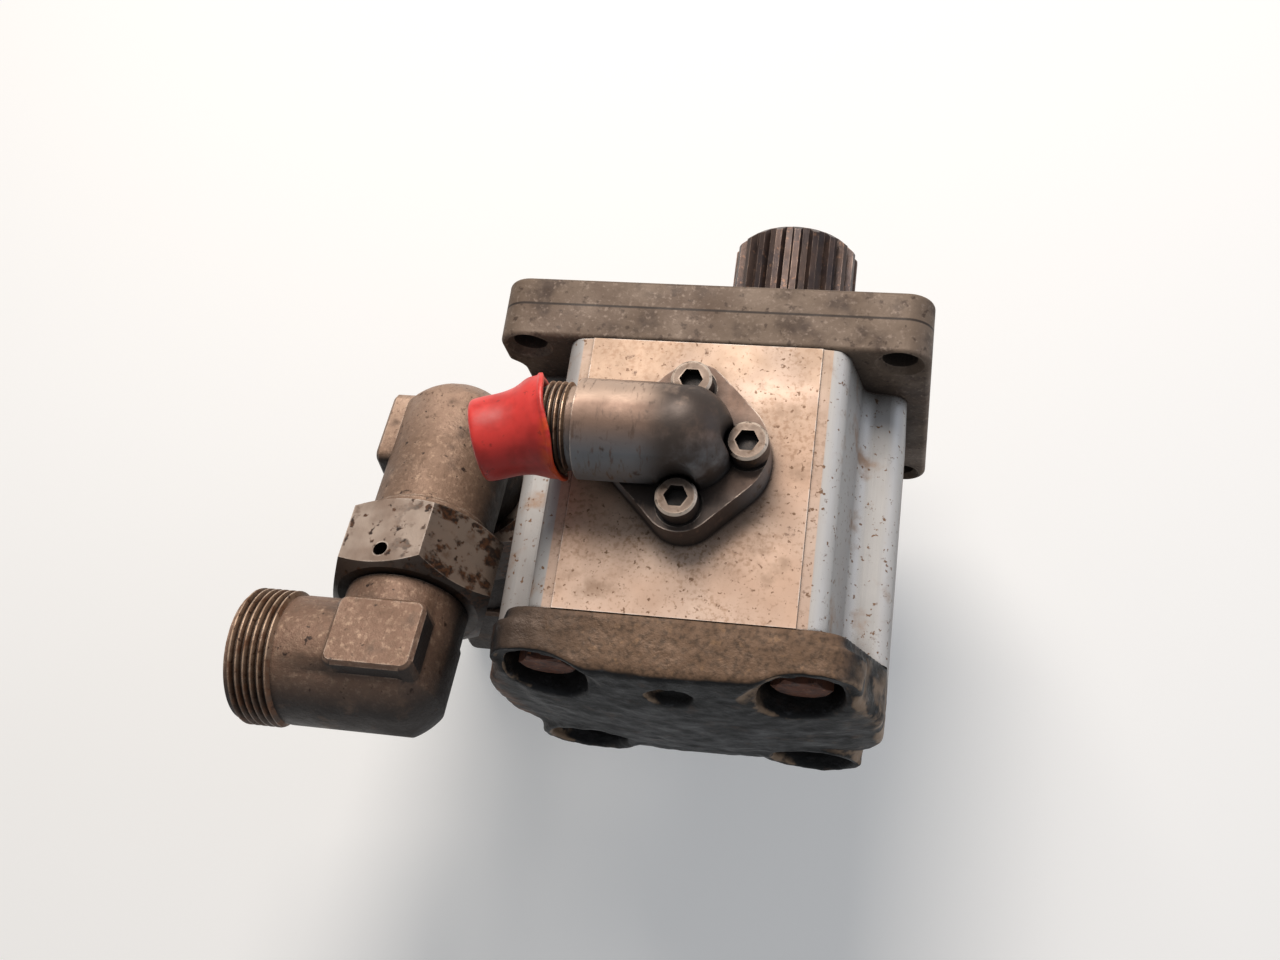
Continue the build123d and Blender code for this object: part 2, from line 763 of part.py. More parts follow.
def pressure_elbow_local():
    """The pressure elbow in its own frame: a smooth pipe with a groove before its thread."""
    plate_corners = diamond(pressure_plate_reach, pressure_plate_corner, pressure_plate_heel_corner)
    pipe_radius = pressure_pipe_diameter / 2
    bore_radius = pressure_bore / 2
    thread_radius = pressure_thread_diameter / 2
    thread_start = pressure_stub_reach - pressure_thread_length
    groove_radius = thread_radius - pressure_groove_width / 2
    pipe = [
        (0, 0),
        (pipe_radius, 0),
        (pipe_radius, thread_start),
        (groove_radius, thread_start),
        (groove_radius, thread_start + pressure_groove_width),
        (thread_radius, thread_start + pressure_groove_width),
        (thread_radius, pressure_stub_reach - thread_chamfer),
        (thread_radius - thread_chamfer, pressure_stub_reach),
        (0, pressure_stub_reach),
    ]
    mouth = cone_mouth(pressure_stub_reach, bore_radius, bore_radius + pressure_mouth_flare)
    return port_elbow(pressure_bore, pressure_bolt_circle, pressure_screw_head, pressure_screw_diameter,
                      pressure_plate_thickness, plate_corners, pressure_axis_height, pipe, mouth)


def pressure_place():
    """Where the pressure elbow sits: on the top pad, pipe towards -X."""
    return placed((centre_x, port_y, housing_half_height), (-1, 0, 0), (0, 0, 1))


def suction_place():
    """Where the suction elbow sits: on the bottom pad, pipe towards -X."""
    return placed((centre_x, port_y, -housing_half_height), (-1, 0, 0), (0, 0, -1))


def male_leg(length, thread_length):
    """The half section of a threaded leg, from the elbow's centre out, as (radius, height)."""
    neck_radius = male_neck_diameter / 2
    thread_radius = tube_thread_diameter / 2
    thread_start = length - thread_length
    return [
        (0, 0),
        (neck_radius, 0),
        (neck_radius, thread_start - (thread_radius - neck_radius)),
        (thread_radius, thread_start),
        (thread_radius, length - thread_chamfer),
        (thread_radius - thread_chamfer, length),
        (0, length),
    ]


def cone_mouth(length, bore_radius, mouth_radius):
    """The half section to cut out of a leg: its bore, widened at the end by the sealing cone."""
    cone_depth = (mouth_radius - bore_radius) / cone_slope
    return [
        (0, 0),
        (bore_radius, 0),
        (bore_radius, length - cone_depth),
        (mouth_radius, length),
        (0, length),
    ]


def suction_elbow_local():
    """The suction elbow in its own frame, with a threaded stub like the swivel elbows'."""
    plate_corners = diamond(suction_plate_reach, suction_plate_corner, suction_plate_heel_corner)
    stub_reach = centre_x - (lower_elbow_x + nut_bore_end + end_gap)
    stub = male_leg(stub_reach, tube_thread_length)
    mouth = cone_mouth(stub_reach, suction_bore / 2, spigot_radius + nose_clearance)
    return port_elbow(suction_bore, suction_bolt_circle, suction_screw_head, suction_screw_diameter,
                      suction_plate_thickness, plate_corners, suction_axis_height, stub, mouth)


def pressure_cap():
    """The tapered plastic cap, pushed on askew over the end of the pressure thread."""
    mouth = cap_mouth_diameter / 2
    middle = cap_middle_diameter / 2
    end = cap_end_diameter / 2
    rim = mouth + cap_rim_height
    wall_edges = [
        Line((0, cap_length), (end, cap_length)),
        ThreePointArc((end, cap_length), (middle, cap_middle_depth), (mouth, cap_rim_width)),
        Line((mouth, cap_rim_width), (rim, cap_rim_width)),
        Line((rim, cap_rim_width), (rim, 0)),
        Line((rim, 0), (mouth - cap_wall, 0)),
        ThreePointArc((mouth - cap_wall, 0), (middle - cap_wall, cap_middle_depth),
                      (end - cap_wall, cap_length - cap_wall)),
        Line((end - cap_wall, cap_length - cap_wall), (0, cap_length - cap_wall)),
        Line((0, cap_length - cap_wall), (0, cap_length)),
    ]
    cap = revolve(make_face([Plane.XZ * edge for edge in wall_edges]), axis=Axis.Z)
    cap = fillet(cap.edges().group_by(Axis.Z)[-1], cap_edge_round)
    tilt = math.radians(cap_tilt)
    axis = Vector(-math.cos(tilt), -math.sin(tilt), 0)
    stub_end = Vector(centre_x - pressure_stub_reach, port_y, housing_half_height + pressure_axis_height)
    mouth_centre = stub_end - axis * cap_grip
    return placed(mouth_centre, (0, 0, 1), axis) * cap


# ---- swivel elbows ----------------------------------------------------------------------------
def swivel_elbow(leg_length, thread_length):
    """One elbow of the suction line: captive-nut leg along +Z, threaded leg along +X."""
    heel_radius = male_neck_diameter / 2
    male_place = placed((0, 0, 0), (0, 0, -1), (1, 0, 0))
    cross_width = 2 * heel_radius
    heel = bar((-heel_radius, 0, 0), (1, 0, 0), cross_width, heel_radius)
    heel &= bar((0, 0, -heel_radius), (0, 0, 1), cross_width, heel_radius)
    side_view = Plane.XZ * RectangleRounded(cross_width, cross_width, elbow_heel_round)
    heel &= extrude(side_view, amount=heel_radius, both=True)
    heel &= Sphere(elbow_heel_crown / 2)
    elbow = heel + male_place * turned(male_leg(leg_length, thread_length)) + swivel_leg()
    elbow += wrench_pad()
    elbow -= male_place * turned(cone_mouth(leg_length, line_bore / 2, spigot_radius + nose_clearance))
    elbow -= bar((0, 0, 0), (0, 0, 1), elbow_pitch, line_bore / 2)
    elbow -= Sphere(line_bore / 2)
    elbow -= wire_track()
    return elbow - Pos(0, 0, nut_bore_end + cone_ring_place) * cone_ring_groove()


def swivel_leg():
    """The leg that carries the captive nut: neck, spigot and sealing cone."""
    neck_radius = swivel_neck_diameter / 2
    nose_start = nut_bore_end + end_gap
    return turned([
        (0, 0),
        (neck_radius, 0),
        (neck_radius, nut_start - neck_gap),
        (spigot_radius, nut_start - neck_gap),
        (spigot_radius, nose_start),
        (spigot_radius - nose_length * cone_slope, nose_start + nose_length),
        (0, nose_start + nose_length),
    ])


def cone_ring_groove():
    """The cutting shape of the small square groove in the sealing cone."""
    outer = spigot_radius + cone_ring_section
    inner = cone_ring_radius() - cone_ring_section / 2 - wire_clearance
    half = cone_ring_section / 2 + wire_clearance
    return turned([(inner, -half), (outer, -half), (outer, half), (inner, half)])


def cone_ring_radius():
    """The middle radius of the O-ring in the sealing cone, just short of the cone it seals on."""
    cone_radius = spigot_radius - (cone_ring_place - end_gap) * cone_slope
    return cone_radius + nose_clearance / 2 - cone_ring_section / 2


def wrench_pad():
    """The raised pad forged on the elbow's outer side, for a wrench to bear on."""
    outline = RectangleRounded(pad_along_male, pad_along_swivel, pad_corner)
    centred = Plane.XZ * Pos(pad_shift_male, pad_shift_swivel) * outline
    block = extrude(centred, amount=-pad_height)
    return chamfer(block.edges().group_by(Axis.Y)[-1], pad_edge)


def wire_track():
    """The ring of space round the locking wire, half in the nut and half in the spigot."""
    track = round_ring(wire_track_radius, wire_diameter + 2 * wire_clearance)
    return Pos(0, 0, nut_start + wire_offset) * track


def swivel_nut(turn):
    """The captive nut, bored for the spigot, the thread and the wire that keeps it on."""
    nut = Pos(0, 0, nut_start) * Rot(0, 0, turn) * hexagon_bar(nut_flats, nut_length, nut_chamfer, True)
    nut -= bar((0, 0, nut_start), (0, 0, 1), nut_wall, spigot_radius + fit_clearance)
    thread_bore = tube_thread_diameter / 2 + fit_clearance
    nut -= bar((0, 0, nut_bore_end), (0, 0, 1), nut_length, thread_bore)
    nut -= wire_track()
    flat_angle = math.radians(turn + 180 / 6)
    hole_direction = (math.cos(flat_angle), math.sin(flat_angle), 0)
    return nut - bar((0, 0, nut_start + wire_offset), hole_direction, nut_flats, wire_hole_diameter / 2)


def lock_wire():
    """The wire in the groove between the nut and the spigot."""
    return Pos(0, 0, nut_start + wire_offset) * round_ring(wire_track_radius, wire_diameter)


def cone_ring():
    """The O-ring in the sealing cone."""
    return Pos(0, 0, nut_bore_end + cone_ring_place) * round_ring(cone_ring_radius(), cone_ring_section)


def line_places():
    """Where the lower, upper and outlet elbows stand, each screwed to the one before it."""
    lower_centre = Vector(lower_elbow_x, port_y, -housing_half_height - suction_axis_height)
    upper_centre = lower_centre + Vector(*riser_axis) * elbow_pitch
    outlet_centre = upper_centre + Vector(*arm_axis) * elbow_pitch
    return {
        "lower": placed(lower_centre, riser_axis, (1, 0, 0)),
        "upper": placed(upper_centre, arm_axis, Vector(*riser_axis) * -1),
        "outlet": placed(outlet_centre, (-1, 0, 0), Vector(*arm_axis) * -1),
    }


# ---- the files --------------------------------------------------------------------------------
def save(node, solids):
    """Write one node's solids as one file."""
    pieces = solids if isinstance(solids, list) else [solids]
    children = [solid for piece in pieces for solid in piece.solids()]
    export_step(Compound(children=children), "parts/" + node + ".step")


def build():
    """Make every node of the pump."""
    os.makedirs("parts", exist_ok=True)
    front_block_rear = gear_front + side_clearance
    rear_block_front = gear_rear - side_clearance
    save("mounting_flange", mounting_flange())
    save("gear_housing", gear_housing())
    save("rear_cover", rear_cover())
    save("drive_gear_shaft", drive_gear_shaft())
    save("driven_gear_shaft", driven_gear_shaft())
    save("front_bushing_block", bushing_block(housing_front, front_block_rear))
    save("rear_bushing_block", bushing_block(housing_rear, rear_block_front))
    save("front_journal_sleeves", journal_sleeves(front_block_rear, housing_front))
    save("rear_journal_sleeves", journal_sleeves(housing_rear, rear_block_front))
    save("front_block_seal", block_seal(housing_front, -1))
    save("rear_block_seal", block_seal(housing_rear, 1))
    save("front_housing_seal", housing_seal(housing_front, -1))
    save("rear_housing_seal", housing_seal(housing_rear, 1))
    save("shaft_seal", shaft_seal())
    save("seal_retaining_ring", seal_retaining_ring())
    save("drive_coupling", drive_coupling())
    save("coupling_key", keyway())
    save("coupling_nut", coupling_nut())
    save("coupling_washer", coupling_washer())
    save("body_bolts", body_bolts())
    save("body_bolt_washers", body_bolt_washers())
    save("locating_dowels", locating_dowels())
    save("pressure_elbow", pressure_place() * pressure_elbow_local())
    save("suction_elbow", suction_place() * suction_elbow_local())
    pressure_screws = socket_screws(port_side_places(pressure_bolt_circle),
                                    pressure_plate_thickness - spot_face_depth, pressure_screw_diameter,
                                    pressure_screw_head, pressure_screw_socket,
                                    pressure_screw_engagement)
    suction_screws = socket_screws(port_side_places(suction_bolt_circle),
                                   suction_plate_thickness - spot_face_depth, suction_screw_diameter,
                                   suction_screw_head, suction_screw_socket,
                                   suction_screw_engagement)
    save("pressure_elbow_screws", [pressure_place() * screw for screw in pressure_screws])
    save("suction_elbow_screws", [suction_place() * screw for screw in suction_screws])
    ring_middle = Pos(0, 0, port_ring_section / 2)
    pressure_ring = ring_middle * round_ring(port_ring_radius(pressure_bore), port_ring_section)
    suction_ring = ring_middle * round_ring(port_ring_radius(suction_bore), port_ring_section)
    save("pressure_port_ring", pressure_place() * pressure_ring)
    save("suction_port_ring", suction_place() * suction_ring)
    save("pressure_cap", pressure_cap())
    nut_turns = {"lower": lower_nut_turn, "upper": middle_nut_turn, "outlet": outer_nut_turn}
    joined_elbow = swivel_elbow(male_leg_length, tube_thread_length)
    outlet_elbow = swivel_elbow(outlet_leg_length, outlet_thread_length)
    for name, place in line_places().items():
        elbow = outlet_elbow if name == "outlet" else joined_elbow
        save(name + "_swivel_elbow", place * elbow)
        save(name + "_swivel_nut", place * swivel_nut(nut_turns[name]))
        save(name + "_lock_wire", place * lock_wire())
        save(name + "_cone_ring", place * cone_ring())


build()
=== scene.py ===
# %% [markdown]
# # A used hydraulic gear pump
# The pump hangs from its mounting flange. An aluminium body holds two gears, a small elbow takes
# the pressure oil away, and a line of three swivel elbows brings the suction oil in. The shapes
# come from the maker's drawing, loaded below as the frame. This file adds what a drawing leaves
# out: cut threads, forged and cast skins, rust, oil and wear.

import json
import math
from contextlib import contextmanager

import bmesh
import bpy
from mathutils import Matrix, Vector
from mathutils import noise as space_noise


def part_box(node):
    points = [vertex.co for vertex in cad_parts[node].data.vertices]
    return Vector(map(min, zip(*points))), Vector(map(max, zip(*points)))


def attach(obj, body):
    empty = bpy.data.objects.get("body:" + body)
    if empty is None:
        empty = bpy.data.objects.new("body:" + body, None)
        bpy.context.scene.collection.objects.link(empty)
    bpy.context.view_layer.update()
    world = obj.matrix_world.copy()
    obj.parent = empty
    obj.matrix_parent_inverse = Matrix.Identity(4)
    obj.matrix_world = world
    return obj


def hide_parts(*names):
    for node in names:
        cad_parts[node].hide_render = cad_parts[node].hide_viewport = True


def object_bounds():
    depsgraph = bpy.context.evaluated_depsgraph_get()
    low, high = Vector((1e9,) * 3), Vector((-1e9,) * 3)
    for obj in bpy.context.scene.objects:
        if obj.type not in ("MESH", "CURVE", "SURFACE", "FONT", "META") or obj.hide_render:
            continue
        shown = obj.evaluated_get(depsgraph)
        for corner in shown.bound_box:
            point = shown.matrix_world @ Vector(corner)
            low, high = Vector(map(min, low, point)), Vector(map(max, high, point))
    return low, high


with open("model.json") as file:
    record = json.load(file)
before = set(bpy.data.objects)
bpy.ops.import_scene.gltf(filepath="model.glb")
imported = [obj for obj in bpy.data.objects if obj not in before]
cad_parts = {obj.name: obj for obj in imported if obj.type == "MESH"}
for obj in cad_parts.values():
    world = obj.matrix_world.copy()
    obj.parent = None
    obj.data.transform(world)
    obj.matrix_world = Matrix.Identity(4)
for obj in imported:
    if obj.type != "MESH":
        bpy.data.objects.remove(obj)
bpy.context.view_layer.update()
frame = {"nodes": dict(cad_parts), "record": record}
nodes = frame["nodes"]

# %% [markdown]
# Blender counts in metres and a workshop in millimetres, so places and sizes below are written in
# millimetres, and MM turns them to metres. X runs across the pump, Y along its shafts toward the
# coupling, and Z up. Places are read from the drawn parts and mounts, so they follow the drawing.

# %% Millimetres, axes and places
MM = 0.001
X, Y, Z = (1, 0, 0), (0, 1, 0), (0, 0, 1)


def box_mm(node):
    """A drawn part's lowest and highest corners, in millimetres."""
    low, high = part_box(node)
    return low / MM, high / MM


mounts = {mount["name"]: mount for mount in frame["record"]["mounts"]}
housing_low, housing_high = box_mm("gear_housing")
cover_low, cover_high = box_mm("rear_cover")
pipe_end = Vector(mounts["pressure_outlet"]["pos_m"]) / MM
print("housing length:", round(housing_high.y - housing_low.y, 1), "mm")

# %% [markdown]
# Every finish below is a small tree of nodes. One helper adds a node, sets its inputs and links
# what is passed as a socket, so that each finish reads as a list of layers. Colours are written
# as the hex values a painter would pick, and turned to linear light once.

# %% One node, one colour
def linear(hex_colour):
    """A colour picked as sRGB hex, as the linear values that shaders use."""
    channels = [int(hex_colour[i:i + 2], 16) / 255 for i in (1, 3, 5)]
    return [c / 12.92 if c <= 0.04045 else ((c + 0.055) / 1.055) ** 2.4 for c in channels] + [1.0]


def set_inputs(tree, node, inputs):
    """Give each named input its value, its hex colour or the socket that feeds it."""
    for name, value in dict(inputs).items():
        socket = node.inputs[name]
        if isinstance(value, bpy.types.NodeSocket):
            tree.links.new(value, socket)
        else:
            socket.default_value = linear(value) if isinstance(value, str) else value


def add(tree, kind, inputs=(), **settings):
    """A new node with its settings and its inputs."""
    node = tree.nodes.new("ShaderNode" + kind)
    for name, value in settings.items():
        setattr(node, name, value)
    set_inputs(tree, node, inputs)
    return node


print("red plastic in linear light:", [round(c, 3) for c in linear("#b8322a")])

# %% [markdown]
# Real metal is never one colour. The same few masks come back on every part, and the first is a
# stain of some size: a noise that is cut off smoothly between two levels. Each finish states its
# own sizes in millimetres. Object coordinates keep a pattern fixed to its piece while the piece
# turns.

# %% Masks from noise
def fade(tree, value, low, high):
    """A mask that changes smoothly from 0 at low to 1 at high."""
    shape = add(tree, "MapRange", {"Value": value, "From Min": low, "From Max": high},
                interpolation_type="SMOOTHSTEP")
    return shape.outputs["Result"]


def noise(tree, size_mm, detail=3.0, roughness=0.55, stretch=(1, 1, 1), shift=0.0):
    """A noise whose blotches are about size_mm across; shift keeps two noises from agreeing."""
    place = add(tree, "TexCoord").outputs["Object"]
    mapped = add(tree, "Mapping", {"Vector": place, "Scale": stretch, "Location": (shift, shift, shift)})
    pattern = add(tree, "TexNoise", {
        "Vector": mapped.outputs["Vector"], "Scale": 1 / (size_mm * MM),
        "Detail": detail, "Roughness": roughness,
    })
    return pattern.outputs["Fac"]


def spots(tree, size_mm, low, high, **settings):
    """A mask of the places where a noise passes from low to high."""
    return fade(tree, noise(tree, size_mm, **settings), low, high)


def overlap(tree, *masks):
    """The places that lie in all of some masks: the masks multiplied."""
    shared = masks[0]
    for mask in masks[1:]:
        shared = add(tree, "Math", {0: shared, 1: mask}, operation="MULTIPLY").outputs[0]
    return shared


print("masks:", [mask.__name__ for mask in (spots, overlap)])

# %% [markdown]
# Dust settles on what looks up and rain washes what looks down, so some masks ask which way a
# face looks; most of those here also paint light on faces turned toward the lamps and shade on
# faces turned away. Others ask how far along an axis it lies, because a part that was gripped,
# dipped or leaned on wears in one place.

# %% Masks from direction and place
def facing(tree, axis, low, high):
    """A mask of the faces that look along an axis of the object, whatever the view."""
    normal = add(tree, "NewGeometry").outputs["Normal"]
    turned = add(tree, "VectorTransform", {"Vector": normal}, vector_type="NORMAL",
                 convert_from="WORLD", convert_to="OBJECT")
    part = add(tree, "VectorMath", {0: turned.outputs[0], 1: axis}, operation="DOT_PRODUCT")
    return fade(tree, part.outputs["Value"], low, high)


def along(tree, axis):
    """The distance along an axis of the object, in millimetres."""
    place = add(tree, "TexCoord").outputs["Object"]
    axis_mm = [part / MM for part in axis]
    return add(tree, "VectorMath", {0: place, 1: axis_mm}, operation="DOT_PRODUCT").outputs["Value"]


def past(tree, axis, start, full):
    """A mask of the places along an axis, 0 at start and 1 at full, both in millimetres."""
    return fade(tree, along(tree, axis), start, full)


print("masks:", [mask.__name__ for mask in (facing, past)])

# %% [markdown]
# Two masks follow the shape itself. Ambient occlusion finds the sockets, corners and joints,
# where the finishes lay painted shade and some dirt. Hands and spanners polish what sticks out, so
# the bevel node, which blurs the surface's direction near an edge, finds the edges to rub bright.

# %% Masks from the shape: painted shade and dirt in corners, wear on edges
def corner_shade_and_dirt(tree, reach_mm, clean=0.8, filled=0.35):
    """A mask that is 1 deep in a corner and 0 in the open, where painted shade and dirt go."""
    openness = add(tree, "AmbientOcclusion", {"Distance": reach_mm * MM}, samples=6).outputs["AO"]
    return fade(tree, openness, clean, filled)


def worn_edges(tree, width_mm, size_mm=3.0):
    """A mask of the edges, broken up by a noise so that no edge is rubbed all along."""
    flat, sharp = 0.97, 0.88
    blurred = add(tree, "Bevel", {"Radius": width_mm * MM}, samples=4).outputs["Normal"]
    normal = add(tree, "NewGeometry").outputs["Normal"]
    agree = add(tree, "VectorMath", {0: blurred, 1: normal}, operation="DOT_PRODUCT").outputs["Value"]
    return overlap(tree, fade(tree, agree, flat, sharp), spots(tree, size_mm, 0.36, 0.60, shift=31))


print("masks:", [mask.__name__ for mask in (corner_shade_and_dirt, worn_edges)])

# %% [markdown]
# A finish is a list of layers, each a colour laid over the ones before it where its masks
# overlap, just as plating, stains, dirt and scratches came onto the real part in turn; some
# layers paint light and shade instead. Its roughness wanders between two values, as a noise does
# that mostly stays between 0.3 and 0.7.
# One or more bumps give the skin its depth, each a height and how many millimetres it is high.

# %% From layers to a finish
def layered(tree, base, *layers):
    """Colours laid over a base; each layer is one or more masks and then its colour."""
    colour = base
    for *masks, above in layers:
        mix = add(tree, "Mix", {0: overlap(tree, *masks), 6: colour, 7: above}, data_type="RGBA")
        colour = mix.outputs[2]
    return colour


def finish(name, colour, metallic, roughness, bumps, shader_values=()):
    """A new material: colour and bumps are functions of its tree, roughness is (low, high, size_mm)."""
    material = bpy.data.materials.new(name)
    material.use_nodes = True
    tree = material.node_tree
    smooth, dull, size_mm = roughness
    usual_low, usual_high = 0.3, 0.7
    wander = add(tree, "MapRange", {
        "Value": noise(tree, size_mm, shift=17), "From Min": usual_low, "From Max": usual_high,
        "To Min": smooth, "To Max": dull,
    })
    normal = {}
    for height, depth_mm in bumps(tree):
        bump = add(tree, "Bump", {"Height": height, "Strength": 1.0, "Distance": depth_mm * MM, **normal})
        normal = {"Normal": bump.outputs["Normal"]}
    set_inputs(tree, tree.nodes["Principled BSDF"], {
        "Base Color": colour(tree), "Metallic": metallic, "Roughness": wander.outputs["Result"],
        **normal, **dict(shader_values),
    })
    return material


print("a finish is a colour, a metallic share, a roughness and bumps")

# %% [markdown]
# The flange is sand-cast aluminium that has spent years in oil mist. The sand leaves a skin of
# grains about half a millimetre across, drawn here at 0.9 mm so that they show, and dirt settles
# in it as brown blotches. The mould's two halves met near the middle of the flange's thickness,
# which leaves a thin dark line round its edge.

# %% Sand-cast aluminium, oil-stained
parting_y = box_mm("mounting_flange")[0].y + 9.6


def flange_colour(tree):
    off_line = add(tree, "Math", {0: along(tree, Y), 1: parting_y}, operation="SUBTRACT").outputs[0]
    distance = add(tree, "Math", {0: off_line}, operation="ABSOLUTE").outputs[0]
    on_side = overlap(tree, facing(tree, Y, 0.7, 0.4), facing(tree, (0, -1, 0), 0.7, 0.4))
    return layered(
        tree, "#756455",
        (spots(tree, 26, 0.38, 0.64), "#625042"),
        (spots(tree, 8, 0.50, 0.72, shift=3, detail=5), "#4a3b31"),
        (spots(tree, 1.2, 0.52, 0.74, shift=5, detail=5), "#8a796b"),
        (spots(tree, 2.2, 0.58, 0.68, shift=15, detail=6), "#4d3d31"),
        (worn_edges(tree, 0.9), spots(tree, 9, 0.45, 0.62), "#b3a496"),
        (fade(tree, distance, 0.5, 0.15), on_side, "#32271f"),
        # painted shade in the corners and joints, with some dirt
        (corner_shade_and_dirt(tree, 11), "#231c18"),
    )


def cast_grain(tree):
    return [(noise(tree, 6.0, detail=2), 0.30), (noise(tree, 0.9, detail=4, roughness=0.7), 0.10)]


flange_finish = finish("sand_cast_aluminium", flange_colour, metallic=0.25, roughness=(0.52, 0.74, 12),
                       bumps=cast_grain)
print("made", flange_finish.name)

# %% [markdown]
# The body is cut from an extruded aluminium bar, so it has no grains: only faint lines along the
# bar, drawn wider apart than the die leaves them so that they show, a warm film of old oil on
# its top, and brown specks where the oil has dried. Its shoulders and flanks were wiped, and
# stay grey, but the faces that look up and to the right are painted lighter as a highlight, and
# the corners and joints get painted shade.

# %% Extruded aluminium, flecked with dried oil
def oil_film(tree):
    """The film on the body's top: thicker and browner toward the flange."""
    toward_flange = past(tree, Y, housing_low.y + 31.8, housing_high.y - 6.6)
    return layered(
        tree, "#d3baa7",
        (spots(tree, 34, 0.36, 0.66), "#c2a28b"),
        (toward_flange, spots(tree, 18, 0.30, 0.60, shift=51), "#b99d85"),
        (spots(tree, 1.1, 0.54, 0.72, shift=27, detail=5), "#ad8e77"),
        (spots(tree, 1.3, 0.46, 0.66, shift=37, detail=5), spots(tree, 20, 0.44, 0.62, shift=33), "#a5856c"),
    )


def housing_colour(tree):
    above_shoulders = past(tree, Z, housing_high.z - 8.9, housing_high.z - 7.9)
    return layered(
        tree, "#b3b1ae",
        (spots(tree, 12, 0.42, 0.70, shift=19, detail=4, stretch=(1, 0.3, 1)), "#a9a4a0"),
        # painted highlight on the faces that look up and to the right
        (facing(tree, (0.7, 0, 0.7), 0.72, 0.95), "#d0cdc9"),
        (facing(tree, Z, 0.97, 0.999), above_shoulders, oil_film(tree)),
        (spots(tree, 10, 0.54, 0.74, shift=2, detail=6), "#a38771"),
        (spots(tree, 1.5, 0.62, 0.69, shift=7, detail=3), "#7b5d45"),
        (spots(tree, 3.6, 0.60, 0.71, shift=11, detail=7, roughness=0.75), "#6f5442"),
        (worn_edges(tree, 0.5), "#e2d8cf"),
        # painted shade in the corners and small creases, with some dirt
        (corner_shade_and_dirt(tree, 8), "#30261f"),
        (corner_shade_and_dirt(tree, 1.0, clean=0.90, filled=0.60), "#43352c"),
    )


def drawn_lines(tree):
    return [(noise(tree, 0.7, detail=2, stretch=(1, 0.03, 1)), 0.03), (noise(tree, 5.0, shift=4), 0.05)]


housing_finish = finish("wiped_extruded_aluminium", housing_colour, metallic=0.30, roughness=(0.46, 0.66, 14),
                        bumps=drawn_lines)
print("made", housing_finish.name)

# %% [markdown]
# The rear cover is the same cast metal as the flange, but it has faced down into the dirt: its
# end is near black, partly old oil and partly painted shade, and its upper bevel is brown, partly
# dust and partly painted light. One corner is rubbed bright, and on the other the black has
# peeled and shows brown. Oil fills the grain and leaves little shine, so the specular level is
# half of the usual 0.5. The bolt pockets and corners get painted shade.

# %% Cast cover, black with oil and painted shade
def bevel_dust_and_light(tree):
    """The cover's upper bevel, dust and painted light, which gets darker toward the suction line."""
    return layered(
        tree, "#755d4a",
        (spots(tree, 1.4, 0.4, 0.7, detail=6), "#554436"),
        (spots(tree, 2, 0.58, 0.74, shift=14, detail=5), "#84684f"),
        (past(tree, X, cover_low.x + 39.8, cover_low.x + 5.8), "#473a31"),
    )


def cover_colour(tree):
    on_bevel = facing(tree, (0, 0.35, 0.94), 0.35, 0.70)
    left_end = past(tree, X, cover_low.x + 7.8, cover_low.x + 1.8)
    return layered(
        # near-black base: old oil, and painted shade on the end that faces away from the lamp
        tree, "#1b1c1d",
        (spots(tree, 16, 0.38, 0.64), "#141517"),
        (spots(tree, 5, 0.56, 0.72, shift=6, detail=6), "#352b26"),
        (spots(tree, 1.6, 0.54, 0.72, shift=16, detail=6, stretch=(0.5, 1, 1)), "#434446"),
        # the upper bevel: dust, and painted light where it faces the lamp
        (on_bevel, past(tree, Z, cover_high.z - 5.4, cover_high.z - 0.9), bevel_dust_and_light(tree)),
        (facing(tree, (0.78, -0.60, 0.15), 0.72, 0.90), spots(tree, 6, 0.38, 0.54, shift=9), "#a38a73"),
        (left_end, spots(tree, 7, 0.42, 0.58, shift=9), "#6e4c39"),
        # painted shade in the bolt pockets and corners
        (corner_shade_and_dirt(tree, 12), "#191512"),
    )


def coarse_grain(tree):
    pits = noise(tree, 3.2, detail=4, roughness=0.6)
    return [(pits, 0.40), (noise(tree, 0.9, detail=4, roughness=0.7), 0.14)]


cover_finish = finish("oily_cast_aluminium", cover_colour, metallic=0.20, roughness=(0.42, 0.70, 6),
                      bumps=coarse_grain, shader_values={"Specular IOR Level": 0.25})
print("made", cover_finish.name)

# %% [markdown]
# The suction elbows are forged steel with a thin zinc and chromate skin. Their upper faces are a
# worn, dusty brown painted lighter as lit, the lower ones near black as painted shade, the rubbed
# edges are bright on the upper side only as a painted highlight, and rust has started in pits.
# The line gets darker from its back to its front, and its front elbow is speckled. Forging leaves
# the surface softly uneven, at a scale of several millimetres.

# %% Forged steel, zinc plated, worn brown, with painted light and shade
line_back = box_mm("upper_swivel_elbow")[1].y


def lit_and_worn_top(tree):
    """The upper side of the elbows, worn and painted lighter as lit, from the back of the line to its front.
    """
    return layered(
        tree, "#bb9f8a",
        (spots(tree, 20, 0.38, 0.66), "#a58874"),
        (past(tree, Y, line_back - 7.4, line_back - 25.4), "#856b58"),
        (past(tree, Y, line_back - 47.4, line_back - 69.4),
         spots(tree, 1.7, 0.26, 0.52, shift=48, detail=6), "#7f6351"),
        (spots(tree, 1.8, 0.50, 0.74, shift=44, detail=6, roughness=0.7), "#b2967f"),
    )


